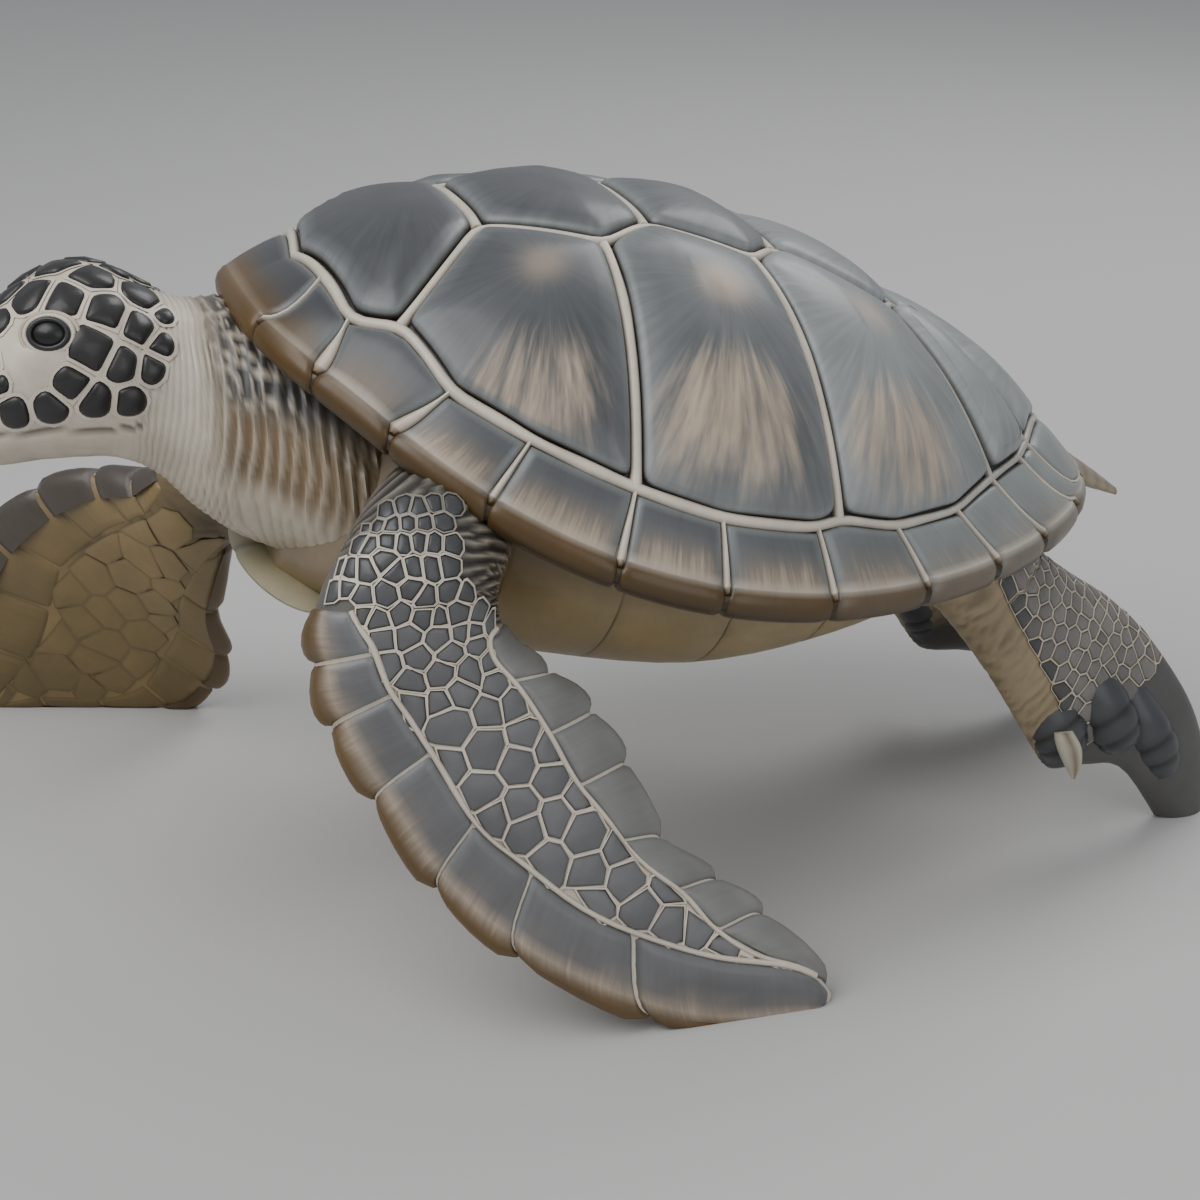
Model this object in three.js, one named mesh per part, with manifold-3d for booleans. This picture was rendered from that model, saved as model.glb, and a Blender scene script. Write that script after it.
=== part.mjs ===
// Sea turtle statue: one hollow-cast figure in painted resin, standing on its flippers and hind feet.
// Millimetres, +Z up. +X is the turtle's left, -Y is the way it faces. The origin is on the ground,
// below the middle of the figure's bounding box.
import * as THREE from 'three';
import Module from 'manifold-3d';

const wasm = await Module();
wasm.setup();

// Driving dimensions of the shell
const shellLength = 600;
const shellHalfWidth = 246;
const shellHeight = 182;
const shellPitch = THREE.MathUtils.degToRad(14.7);
const rimThickness = 19;
const rimLip = 6;
const scuteRise = 4;
const scuteBevel = 6;
const scuteDome = 9;
const plateInsets = [0, 0.45, 0.75];
const rimSeamDepth = 3;
const seamSpacing = 28;

// Place of the figure over the ground and under its bounding box
const shellMiddleHeight = 270;
const boxMiddleX = -34.1;
const boxMiddleY = -45.8;

const groundLevel = -shellMiddleHeight;

const TAU = 2 * Math.PI;
const mix = (a, b, t) => a + (b - a) * t;
const clamp = THREE.MathUtils.clamp;
const bump = (value, middle, reach) => Math.exp(-(((value - middle) / reach) ** 2));

// Shell surface. "along" runs 0 at the front rim to 1 at the rear rim, "across" is -1 to 1.
const halfWidthAt = (along) => shellHalfWidth * Math.sin(Math.PI * clamp(along, 1e-4, 0.9999) ** 0.842) ** 0.463;
const rimHeightAt = (along) => {
  const from = along - 0.5;
  return 26 * from + 288 * from ** 2 - 150 * from ** 3;
};
const domeHeightAt = (along) => shellHeight * Math.sin(Math.PI * clamp(along, 1e-4, 0.9999) ** 0.844) ** 0.885;

// The front rim is drawn forward into a collar over the neck.
const collarReach = 16;
const collarSpread = 0.05;

function shellPoint(along, across, lift = 0) {
  const share = Math.min(Math.abs(across), 1);
  const collar = collarReach * bump(along, 0, collarSpread) * share;
  const base = new THREE.Vector3(
    halfWidthAt(along) * across,
    (along - 0.5) * shellLength - collar,
    rimHeightAt(along) + domeHeightAt(along) * Math.max(0, 1 - share ** 2.836) ** 0.968,
  );
  if (lift === 0) return base;
  return base.addScaledVector(shellNormal(along, across), lift);
}

function shellNormal(along, across) {
  const step = 0.004;
  const a = clamp(along, 0.02, 0.98);
  const c = clamp(across, -0.985, 0.985);
  const ahead = shellPoint(a + step, c).sub(shellPoint(a - step, c));
  const aside = shellPoint(a, c + step).sub(shellPoint(a, c - step));
  return aside.cross(ahead).normalize();
}

// Body frame (level shell) to the standing figure: the shell is pitched with its front up.
const place = (point) => point.clone().applyAxisAngle(new THREE.Vector3(1, 0, 0), -shellPitch);

// Junctions of the scute seams on the left half of the shell: [along, across].
const junction = {
  frontMiddle: [0.028, 0],
  nuchal: [0.045, 0.476],
  v1m1: [0.061, 0.764],
  v1c1: [0.103, 0.738],
  v1v2: [0.192, 0.284],
  c1c2: [0.315, 0.389],
  v2v3: [0.372, 0.26],
  c2c3: [0.49, 0.341],
  v3v4: [0.53, 0.217],
  c3c4: [0.674, 0.299],
  v4v5: [0.707, 0.139],
  edge1: [0.15, 0.869],
  edge2: [0.23, 0.896],
  edge3: [0.338, 0.915],
  edge4: [0.433, 0.926],
  edge5: [0.544, 0.923],
  edge6: [0.57, 0.909],
  edge7: [0.644, 0.918],
  edge8: [0.729, 0.896],
  edge9: [0.784, 0.83],
  edge10: [0.837, 0.758],
  edge11: [0.856, 0.689],
  edge12: [0.925, 0.33],
  rearMiddle: [0.945, 0],
};
const mirrored = ([along, across]) => [along, -across];

// Each plate is named by the junctions round its outline, on the left half of the shell.
const costalPlates = [
  ['v1c1', 'v1v2', 'c1c2', 'edge3', 'edge2', 'edge1'],
  ['c1c2', 'v2v3', 'c2c3', 'edge6', 'edge5', 'edge4', 'edge3'],
  ['c2c3', 'v3v4', 'c3c4', 'edge9', 'edge8', 'edge7', 'edge6'],
  ['c3c4', 'v4v5', 'edge11', 'edge10', 'edge9'],
];
const vertebralPlates = [
  ['nuchal', 'v1m1', 'v1c1', 'v1v2'],
  ['v1v2', 'c1c2', 'v2v3'],
  ['v2v3', 'c2c3', 'v3v4'],
  ['v3v4', 'c3c4', 'v4v5'],
  ['v4v5', 'edge11', 'edge12'],
];
const spineEnds = [['frontMiddle', null], [null, null], [null, null], [null, null], [null, 'rearMiddle']];

function plateOutlines() {
  const outlines = [];
  for (const names of costalPlates) {
    const right = names.map((name) => mirrored(junction[name]));
    outlines.push(right, right.map(mirrored).reverse());
  }
  vertebralPlates.forEach((names, index) => {
    const left = names.map((name) => junction[name]);
    const [first, last] = spineEnds[index];
    const outline = [...left];
    if (last) outline.push(junction[last]);
    outline.push(...left.map(mirrored).reverse());
    if (first) outline.push(junction[first]);
    outlines.push(outline);
  });
  return outlines;
}

// Samples between two junctions, the same from either side.
function seamSamples(from, to) {
  const length = shellPoint(...from).distanceTo(shellPoint(...to));
  const count = Math.max(1, Math.round(length / seamSpacing));
  const turned = from[0] > to[0] || (from[0] === to[0] && from[1] > to[1]);
  const [first, second] = turned ? [to, from] : [from, to];
  return Array.from({ length: count }, (_, i) => {
    const t = (turned ? count - i : i) / count;
    return [mix(first[0], second[0], t), mix(first[1], second[1], t)];
  });
}

const samplePath = (outline) => outline.flatMap((from, i) => seamSamples(from, outline[(i + 1) % outline.length]));

class Skin {
  constructor() {
    this.positions = [];
    this.triangles = [];
    this.known = new Map();
  }
  shared(name, point) {
    if (!this.known.has(name)) this.known.set(name, this.add(point));
    return this.known.get(name);
  }
  add(point) {
    this.positions.push(point.x, point.y, point.z);
    return this.positions.length / 3 - 1;
  }
  quad(a, b, c, d) {
    this.triangles.push(a, b, c, a, c, d);
  }
  band(lower, upper) {
    const count = lower.length;
    for (let i = 0; i < count; i++) this.quad(lower[i], lower[(i + 1) % count], upper[(i + 1) % count], upper[i]);
  }
  fan(ring, centre) {
    const count = ring.length;
    for (let i = 0; i < count; i++) this.triangles.push(ring[i], ring[(i + 1) % count], centre);
  }
  solid() {
    const vertProperties = new Float32Array(this.positions);
    const body = new wasm.Manifold(new wasm.Mesh({
      numProp: 3,
      vertProperties,
      triVerts: new Uint32Array(this.triangles),
    }));
    if (body.volume() > 0) return body;
    return new wasm.Manifold(new wasm.Mesh({
      numProp: 3,
      vertProperties,
      triVerts: new Uint32Array(this.triangles).reverse(),
    }));
  }
}

// The dome: vertebral and costal scutes as raised plates round their seams, closed inside the shell.
const closureDepth = 44;
const seamKey = ([along, across]) => `${along.toFixed(7)},${(across + 0).toFixed(7)}`;

function domeBody() {
  const skin = new Skin();
  const open = new Map();
  for (const outline of plateOutlines()) {
    const path = samplePath(outline);
    const middle = path.reduce((sum, p) => [sum[0] + p[0] / path.length, sum[1] + p[1] / path.length], [0, 0]);
    const centrePoint = shellPoint(...middle);
    const seam = path.map((p) => skin.shared(seamKey(p), place(shellPoint(...p))));
    const rings = plateInsets.map((inset, level) => path.map((p) => {
      const reach = shellPoint(...p).distanceTo(centrePoint);
      const t = level === 0 ? Math.min(scuteBevel / reach, 0.3) : inset;
      const lift = scuteRise + scuteDome * (1 - (1 - inset) ** 2);
      return skin.add(place(shellPoint(mix(p[0], middle[0], t), mix(p[1], middle[1], t), lift)));
    }));
    const levels = [seam, ...rings];
    for (let level = 0; level + 1 < levels.length; level++) skin.band(levels[level], levels[level + 1]);
    skin.fan(levels.at(-1), skin.add(place(shellPoint(...middle, scuteRise + scuteDome))));
    path.forEach((p, i) => {
      const next = path[(i + 1) % path.length];
      const back = `${seamKey(next)}|${seamKey(p)}`;
      if (open.has(back)) open.delete(back);
      else open.set(`${seamKey(p)}|${seamKey(next)}`, [p, next]);
    });
  }
  closeBelow(skin, [...open.values()]);
  return skin.solid();
}

// Joins the open outer edge of the dome to a point inside the body.
function closeBelow(skin, edges) {
  const inside = skin.add(place(new THREE.Vector3(0, 0, 0)));
  const outer = (p) => skin.shared(seamKey(p), place(shellPoint(...p)));
  const tuck = (p) => shellPoint(mix(p[0], 0.5, 0.05), p[1] * 0.95).add(new THREE.Vector3(0, 0, -closureDepth));
  const inner = (p) => skin.shared(`under ${seamKey(p)}`, place(tuck(p)));
  for (const [from, to] of edges) {
    skin.quad(outer(to), outer(from), inner(from), inner(to));
    skin.triangles.push(inner(to), inner(from), inside);
  }
}

// Marginal scutes: each seam runs from a junction on the dome's edge to a place along the rim.
const marginalSeams = [
  ['nuchal', 0.01],
  ['v1m1', 0.044],
  ['edge1', 0.103],
  ['edge2', 0.197],
  ['edge3', 0.329],
  ['edge4', 0.445],
  ['edge5', 0.571],
  ['edge7', 0.69],
  ['edge8', 0.793],
  ['edge9', 0.873],
  ['edge10', 0.946],
  ['edge11', 0.987],
];
const cornerUnder = { v1m1: 'v1c1', edge11: 'edge12' };
const columnShares = [0, 0.1, 0.5, 0.9];
const tuckShare = 0.06;
const tuckDepth = 5;
const topShares = [0.1, 0.6];

// The section of the rim: how far out of the shell's edge, and how high over it.
const rimSection = [
  [0, 0],
  [rimLip, -rimThickness * 0.35],
  [rimLip * 0.7, -rimThickness * 0.8],
  [-rimLip * 1.6, -rimThickness],
  [-rimLip * 8, -rimThickness * 0.8],
  [-rimLip * 12, rimThickness * 0.3],
];
const wallRows = 3;

// A place along the inner edge of a marginal scute, going by the corner it has half way, if any.
function innerAt(here, next, share) {
  const between = (from, to, t) => [mix(from[0], to[0], t), mix(from[1], to[1], t)];
  if (!here.corner) return between(here.inner, next.inner, share);
  if (share < 0.5) return between(here.inner, here.corner, share * 2);
  return between(here.corner, next.inner, share * 2 - 1);
}

function rimColumns() {
  const seams = [
    ...marginalSeams.map(([name, outer]) => ({ inner: junction[name], corner: junction[cornerUnder[name]], outer })),
    { inner: junction.rearMiddle, outer: 1 },
  ];
  const columns = [{ inner: junction.frontMiddle, outer: 0, seam: false, middle: true }];
  for (let i = 0; i + 1 < seams.length; i++) {
    const [here, next] = [seams[i], seams[i + 1]];
    for (const share of columnShares) {
      const inner = innerAt(here, next, share);
      columns.push({ inner, outer: mix(here.outer, next.outer, share), seam: share === 0, middle: false });
    }
  }
  columns.push({ ...seams.at(-1), seam: true, middle: true });
  return columns;
}

function rimBody() {
  const skin = new Skin();
  const left = rimColumns();
  const right = left.filter((column) => !column.middle).reverse();
  const rings = [...left.map((column) => rimRing(column, 1)), ...right.map((column) => rimRing(column, -1))];
  const indexed = rings.map((ring) => ring.map((point) => skin.add(place(point))));
  for (let i = 0; i < indexed.length; i++) skin.band(indexed[i], indexed[(i + 1) % indexed.length]);
  return skin.solid();
}

function rimRing({ inner, outer, seam, middle }, side) {
  const sink = seam ? rimSeamDepth : 0;
  const rise = seam ? 0 : scuteRise * 0.6;
  const edge = shellPoint(outer, side);
  if (middle) edge.setX(0);
  const out = middle ? new THREE.Vector3(0, outer < 0.5 ? -1 : 1, 0) : outwardAt(outer, side);
  const innerPoint = shellPoint(inner[0], inner[1] * side);
  const tucked = shellPoint(mix(inner[0], 0.5, tuckShare), inner[1] * (1 - tuckShare) * side);
  const top = topShares.map((share) => {
    const point = middle
      ? innerPoint.clone().lerp(edge, share)
      : shellPoint(mix(inner[0], outer, share), mix(inner[1], 1, share) * side);
    return point.add(new THREE.Vector3(0, 0, rise));
  });
  top.unshift(tucked.add(new THREE.Vector3(0, 0, -tuckDepth)));
  const wall = rimSection.map(([reach, height], row) => edge.clone()
    .addScaledVector(out, reach - (row < wallRows ? sink : 0))
    .add(new THREE.Vector3(0, 0, height + (row === 0 ? rise : 0))));
  return [...top, ...wall];
}

function outwardAt(along, side) {
  if (side === 0) return new THREE.Vector3(0, along < 0.5 ? -1 : 1, 0);
  const step = 0.006;
  const ahead = shellPoint(Math.min(along + step, 1), side);
  const behind = shellPoint(Math.max(along - step, 0), side);
  const run = ahead.sub(behind).setZ(0).normalize();
  return new THREE.Vector3(run.y * side, -run.x * side, 0);
}

// A smooth run through stations: each station is a list of numbers, t is 0 to 1.
function through(stations, t) {
  const span = clamp(t, 0, 1) * (stations.length - 1);
  const index = Math.min(Math.floor(span), stations.length - 2);
  const f = span - index;
  const before = stations[Math.max(index - 1, 0)];
  const start = stations[index];
  const end = stations[index + 1];
  const after = stations[Math.min(index + 2, stations.length - 1)];
  return start.map((value, k) => {
    const leaving = (end[k] - before[k]) / 2;
    const arriving = (after[k] - value) / 2;
    const drop = value - end[k];
    return ((2 * drop + leaving + arriving) * f - 3 * drop - 2 * leaving - arriving) * f * f + leaving * f + value;
  });
}

// A closed tube through rings of points, capped at both ends.
function tubeBody(rings) {
  const skin = new Skin();
  const indexed = rings.map((ring) => ring.map((point) => skin.add(point)));
  for (let i = 0; i + 1 < indexed.length; i++) skin.band(indexed[i], indexed[i + 1]);
  const middle = (ring) => ring.reduce((sum, p) => sum.addScaledVector(p, 1 / ring.length), new THREE.Vector3());
  skin.fan([...indexed[0]].reverse(), skin.add(middle(rings[0])));
  skin.fan(indexed.at(-1), skin.add(middle(rings.at(-1))));
  return skin.solid();
}

// Trunk and plastron: half width, top and bottom of the level body at places along it.
const trunkStations = [
  // y, half width, top, bottom, squareness
  [-262, 60, -40, -104, 2.2],
  [-235, 120, 20, -112, 2.4],
  [-180, 165, 80, -117, 2.6],
  [-100, 190, 110, -113, 3],
  [0, 196, 115, -105, 3],
  [90, 176, 110, -80, 2.8],
  [170, 140, 98, -48, 2.5],
  [235, 95, 82, -14, 2.2],
  [272, 40, 66, 14, 2],
];
const trunkSteps = 12;
const trunkSides = 16;

function trunkBody() {
  const rings = [];
  for (let i = 0; i <= trunkSteps; i++) {
    const [y, halfWidth, top, bottom, square] = through(trunkStations, i / trunkSteps);
    rings.push(superEllipse(trunkSides, square, (side, up) => {
      const z = (top + bottom) / 2 + (up * (top - bottom)) / 2;
      return place(new THREE.Vector3(side * halfWidth, y, z));
    }));
  }
  return tubeBody(rings);
}

function superEllipse(sides, power, at) {
  return Array.from({ length: sides }, (_, i) => {
    const angle = (TAU * i) / sides;
    const c = Math.cos(angle);
    const s = Math.sin(angle);
    return at(Math.sign(c) * Math.abs(c) ** (2 / power), Math.sign(s) * Math.abs(s) ** (2 / power));
  });
}

// The plastron's front lip, a rounded plate under the neck.
const lipMiddle = [0, -246, -104];
const lipReach = 48;
const lipHalfWidth = 118;
const lipThickness = 20;
const lipSteps = 5;
const lipSides = 16;

function lipBody() {
  const rings = [];
  for (let i = 0; i <= lipSteps; i++) {
    const angle = (Math.PI * (i / lipSteps) - Math.PI / 2) * 0.94;
    rings.push(superEllipse(lipSides, 2, (side, ahead) => place(new THREE.Vector3(
      lipMiddle[0] + side * lipHalfWidth * Math.cos(angle),
      lipMiddle[1] + ahead * lipReach * Math.cos(angle),
      lipMiddle[2] + (lipThickness / 2) * Math.sin(angle),
    ))));
  }
  return tubeBody(rings);
}

// Neck and head along the middle of the figure: y, z, half width, height above and below the middle.
const neckStations = [
  [-150, 26, 96, 70, 80],
  [-225, 46, 104, 86, 88],
  [-270, 60, 92, 84, 84],
  [-300, 70, 80, 76, 80],
  [-325, 82, 68, 66, 72],
  [-348, 97, 62, 61, 62],
  [-372, 110, 64, 62, 62],
  [-398, 113, 65, 62, 62],
  [-422, 109, 60, 56, 58],
  [-447, 100, 50, 46, 51],
  [-468, 88, 35, 33, 38],
  [-483, 78, 16, 15, 19],
];
const neckSquareness = 2.1;
const neckSteps = 18;
const neckSides = 18;
const browRise = 6;
const jawCut = 3.5;
const eyeStation = 8.1;

function neckBody() {
  const rings = [];
  for (let i = 0; i <= neckSteps; i++) {
    const t = i / neckSteps;
    const [y, z, halfWidth, above, below] = through(neckStations, t);
    const station = t * (neckStations.length - 1);
    rings.push(superEllipse(neckSides, neckSquareness, (side, up) => {
      const brow = browRise * bump(station, eyeStation - 0.3, 0.9) * bump(up, 0.55, 0.3);
      const jaw = station > 7 ? jawCut * bump(up, -0.38, 0.14) : 0;
      const reach = (halfWidth + brow - jaw) * side;
      return new THREE.Vector3(reach, y, z + up * (up > 0 ? above : below));
    }));
  }
  return tubeBody(rings);
}

// Eyes: low domes on the sides of the head.
const eyePlace = [52, -412, 145];
const eyeRadius = 15;
const eyeSteps = 6;
const eyeSides = 10;

function eyeBody(side) {
  const rings = [];
  for (let i = 1; i < eyeSteps; i++) {
    const angle = (Math.PI * i) / eyeSteps - Math.PI / 2;
    rings.push(superEllipse(eyeSides, 2, (ahead, up) => new THREE.Vector3(
      (eyePlace[0] + eyeRadius * 0.6 * Math.sin(angle)) * side,
      eyePlace[1] + eyeRadius * ahead * Math.cos(angle),
      eyePlace[2] + eyeRadius * 0.85 * up * Math.cos(angle),
    )));
  }
  return tubeBody(rings);
}

// A limb between two edges: leading edge x y z, trailing edge x y z, thickness.
const leftFlipper = [
  [110, -215, 25, 100, -105, 20, 86],
  [172, -243, 50, 172, -150, 30, 86],
  [203, -266, 36, 203, -171, 12, 80],
  [217, -283, 3, 212, -168, -8, 68],
  [230, -284, -39, 218, -158, -30, 55],
  [240, -274, -69, 224, -134, -50, 46],
  [253, -253, -110, 229, -114, -73, 38],
  [267, -220, -164, 240, -95, -106, 31],
  [279, -168, -214, 255, -74, -156, 26],
  [289, -86, -263, 264, -31, -192, 20],
  [290, -20, -280, 275, 5, -227, 15],
  [286, 25, -277, 284, 32, -263, 9],
];
const rightFlipper = [
  [-110, -205, 25, -95, -110, 15, 86],
  [-165, -262, 30, -160, -180, -5, 80],
  [-190, -303, -4, -174, -226, -54, 68],
  [-207, -328, -38, -191, -268, -88, 57],
  [-234, -346, -46, -213, -280, -128, 48],
  [-263, -375, -53, -239, -283, -172, 41],
  [-291, -412, -74, -263, -273, -214, 35],
  [-315, -447, -112, -285, -282, -250, 29],
  [-334, -473, -160, -306, -318, -274, 24],
  [-347, -488, -206, -328, -384, -277, 19],
  [-355, -490, -244, -345, -442, -278, 14],
  [-359, -482, -268, -355, -470, -277, 9],
];
const leftHindLimb = [
  [96, 100, -20, 60, 190, 0, 70],
  [140, 148, -56, 88, 226, -22, 66],
  [137, 176, -88, 97, 244, -48, 58],
  [131, 203, -127, 95, 273, -70, 49],
  [126, 223, -159, 91, 306, -92, 41],
  [121, 242, -190, 87, 336, -118, 34],
  [117, 260, -212, 86, 364, -152, 28],
  [113, 290, -215, 89, 388, -192, 24],
  [110, 322, -224, 94, 400, -236, 21],
  [104, 360, -277, 100, 396, -274, 18],
];

// A claw on each hind foot: middle x y z and radius from its root to its point.
const leftClaw = [
  [117, 283, -184, 13],
  [121, 281, -198, 10],
  [122, 277, -211, 6],
  [121, 272, -220, 2],
];
const clawSides = 6;

function clawBody(side) {
  return tubeBody(leftClaw.map(([x, y, z, radius]) => superEllipse(clawSides, 2, (ahead, aside) => (
    new THREE.Vector3((x + aside * radius) * side, y + ahead * radius, z)
  ))));
}

const mirrorLimb = (stations) => stations.map(([a, b, c, d, e, f, g]) => [-a, b, c, -d, e, f, g]);

const limbSides = 12;
const scallopDepth = 4;
const notchShare = 0.14;

function limbSection(stations, t, scallop) {
  const here = through(stations, t);
  const step = 0.02;
  const back = through(stations, Math.max(t - step, 0));
  const ahead = through(stations, Math.min(t + step, 1));
  const lead = new THREE.Vector3(here[0], here[1], here[2]);
  const trail = new THREE.Vector3(here[3], here[4], here[5]);
  const run = new THREE.Vector3(
    ahead[0] + ahead[3] - back[0] - back[3],
    ahead[1] + ahead[4] - back[1] - back[4],
    ahead[2] + ahead[5] - back[2] - back[5],
  );
  const chord = trail.clone().sub(lead);
  const normal = chord.clone().cross(run).normalize();
  const middle = lead.clone().add(trail).multiplyScalar(0.5);
  const half = chord.length() / 2;
  const along = chord.normalize();
  const lens = mix(1, 1.25, clamp((t - 0.3) * 3, 0, 1));
  return Array.from({ length: limbSides }, (_, i) => {
    const angle = (TAU * i) / limbSides;
    const c = Math.cos(angle);
    const s = Math.sin(angle);
    const reach = c * (half - scallop * Math.abs(c) ** 3);
    const rise = (Math.sign(s) * Math.abs(s) ** lens * here[6]) / 2;
    return middle.clone().addScaledVector(along, reach).addScaledVector(normal, rise);
  });
}

// Stations of a limb: a notch at each scute seam, with the full outline close on either side of it.
function limbBody(stations, firstSeam) {
  const last = stations.length - 1;
  const rings = [];
  for (let i = 0; i <= last; i++) {
    const t = i / last;
    const notched = i >= firstSeam && i < last;
    const near = notchShare / last;
    if (notched) {
      rings.push(limbSection(stations, t - near, 0));
      rings.push(limbSection(stations, t, scallopDepth));
      rings.push(limbSection(stations, t + near, 0));
    } else {
      rings.push(limbSection(stations, t, 0));
    }
    if (i < last) rings.push(limbSection(stations, t + 0.5 / last, -scallopDepth / 3));
  }
  return tubeBody(rings);
}

// Tail: a short cone below the rear rim.
const tailStations = [
  [225, 8, 34, 26],
  [290, -14, 22, 16],
  [330, -34, 13, 9],
  [358, -50, 4, 3],
];
const tailSteps = 6;
const tailSides = 10;

function tailBody() {
  const rings = [];
  for (let i = 0; i <= tailSteps; i++) {
    const [y, z, halfWidth, halfHeight] = through(tailStations, i / tailSteps);
    rings.push(superEllipse(tailSides, 2, (side, up) => new THREE.Vector3(side * halfWidth, y, z + up * halfHeight)));
  }
  return tubeBody(rings);
}

// What lies below the ground, taken off so that each foot stands on a flat sole.
const groundReach = 800;

function groundSlab() {
  const square = (z) => [[-1, -1], [1, -1], [1, 1], [-1, 1]]
    .map(([x, y]) => new THREE.Vector3(x * groundReach, y * groundReach, z));
  return tubeBody([square(groundLevel - groundReach), square(groundLevel)]);
}

function turtleGeometry() {
  const bodies = [
    domeBody(),
    rimBody(),
    trunkBody(),
    lipBody(),
    neckBody(),
    eyeBody(1),
    eyeBody(-1),
    limbBody(leftFlipper, 4),
    limbBody(rightFlipper, 4),
    limbBody(leftHindLimb, 20),
    limbBody(mirrorLimb(leftHindLimb), 20),
    clawBody(1),
    clawBody(-1),
    tailBody(),
  ];
  const whole = bodies.reduce((sum, body) => sum.add(body)).subtract(groundSlab());
  const mesh = whole.getMesh();
  const geometry = new THREE.BufferGeometry();
  geometry.setAttribute('position', new THREE.Float32BufferAttribute(mesh.vertProperties, 3));
  geometry.setIndex(Array.from(mesh.triVerts));
  geometry.translate(-boxMiddleX, -boxMiddleY, shellMiddleHeight);
  return geometry;
}

// Painted and lacquered cast resin, seen from a step away as a slate blue-grey.
const paintedResin = new THREE.MeshStandardMaterial({ color: 0x686a6b, roughness: 0.38, metalness: 0 });

const turtle = new THREE.Mesh(turtleGeometry(), paintedResin);
turtle.name = 'sea_turtle';

const statue = new THREE.Group();
statue.add(turtle);

export default statue;
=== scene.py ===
import math

import bpy
import numpy as np
from mathutils import Matrix, Vector


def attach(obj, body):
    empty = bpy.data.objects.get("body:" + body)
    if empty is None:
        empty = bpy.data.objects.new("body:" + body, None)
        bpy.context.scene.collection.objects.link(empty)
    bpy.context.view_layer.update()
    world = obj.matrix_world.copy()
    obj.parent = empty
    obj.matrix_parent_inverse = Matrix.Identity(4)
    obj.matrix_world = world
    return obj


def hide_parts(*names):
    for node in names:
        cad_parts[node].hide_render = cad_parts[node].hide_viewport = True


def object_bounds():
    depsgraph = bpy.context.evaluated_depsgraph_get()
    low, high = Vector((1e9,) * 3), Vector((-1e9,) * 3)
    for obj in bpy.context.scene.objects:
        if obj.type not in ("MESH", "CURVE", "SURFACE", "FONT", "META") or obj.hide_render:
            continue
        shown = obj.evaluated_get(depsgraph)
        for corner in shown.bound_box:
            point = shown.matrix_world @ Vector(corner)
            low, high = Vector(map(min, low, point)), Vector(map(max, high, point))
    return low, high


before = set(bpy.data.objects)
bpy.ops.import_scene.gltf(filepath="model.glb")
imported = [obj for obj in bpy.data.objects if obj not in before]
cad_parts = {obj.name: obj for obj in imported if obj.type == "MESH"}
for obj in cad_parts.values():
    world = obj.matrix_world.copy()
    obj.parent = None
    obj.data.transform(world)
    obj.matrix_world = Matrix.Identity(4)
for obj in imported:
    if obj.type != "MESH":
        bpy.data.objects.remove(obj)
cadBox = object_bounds()
print("frame loaded")

noiseSize = 64
draw = np.random.default_rng(11)
noiseTable = draw.uniform(-1, 1, (noiseSize, noiseSize, 6))
fullTurn = 2 * np.pi


def hexToLinear(code):
    channels = [int(code[i:i + 2], 16) / 255 for i in (1, 3, 5)]
    return np.array([c / 12.92 if c <= 0.04045 else ((c + 0.055) / 1.055) ** 2.4 for c in channels])


def mix(a, b, t):
    return a + (b - a) * t


def ramp(value, low, high):
    # 0 up to low, 1 from high on, eased between them
    t = np.clip((value - low) / (high - low), 0, 1)
    return t * t * (3 - 2 * t)


def bell(value, middle, reach):
    # 1 at the middle, fading to both sides
    return np.exp(-(((value - middle) / reach) ** 2))


def unit(v):
    return v / np.maximum(np.linalg.norm(v, axis=-1, keepdims=True), 1e-9)


def runLength(points, axis=0):
    # how far each point lies along its row, from the first one
    steps = np.linalg.norm(np.diff(points, axis=axis), axis=-1)
    return np.concatenate([np.zeros_like(np.take(steps, [0], axis)), np.cumsum(steps, axis)], axis)


def softNoise(x, y, layer=0):
    # smooth noise from -1 to 1, with one hill or hollow for each unit
    x, y = np.broadcast_arrays(np.asarray(x, float), np.asarray(y, float))
    column = np.floor(x).astype(int)
    row = np.floor(y).astype(int)
    fx = ramp(x - column, 0, 1)
    fy = ramp(y - row, 0, 1)

    def at(i, j):
        return noiseTable[(column + i) % noiseSize, (row + j) % noiseSize, layer]

    return mix(mix(at(0, 0), at(1, 0), fx), mix(at(0, 1), at(1, 1), fx), fy)


def creases(phase, narrow, wide):
    # 1 along the line of each crease, one to a unit of phase, 0 between them
    return 1 - ramp(np.abs((phase % 1) - 0.5) * 2, narrow, wide)


def through(stations, t):
    # a smooth run through rows of numbers, t from 0 to 1
    rows = np.array(stations, float)
    span = np.clip(np.asarray(t, float).ravel(), 0, 1) * (len(rows) - 1)
    index = np.minimum(np.floor(span).astype(int), len(rows) - 2)
    f = (span - index)[:, None]
    start = rows[index]
    end = rows[index + 1]
    leaving = (end - rows[np.maximum(index - 1, 0)]) / 2
    arriving = (rows[np.minimum(index + 2, len(rows) - 1)] - start) / 2
    drop = start - end
    bend = (2 * drop + leaving + arriving) * f - 3 * drop - 2 * leaving - arriving
    return bend * f * f + leaving * f + start


def readAt(pairs, key):
    # straight-line reading of a short table of (key, value) pairs
    table = np.array(pairs, float)
    return np.interp(key, table[:, 0], table[:, 1])


def around(count):
    return np.linspace(0, fullTurn, count, endpoint=False)


def stacked(*parts):
    # points or vectors from their parts, whatever the shapes of these
    return np.stack(np.broadcast_arrays(*parts), -1)


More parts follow.
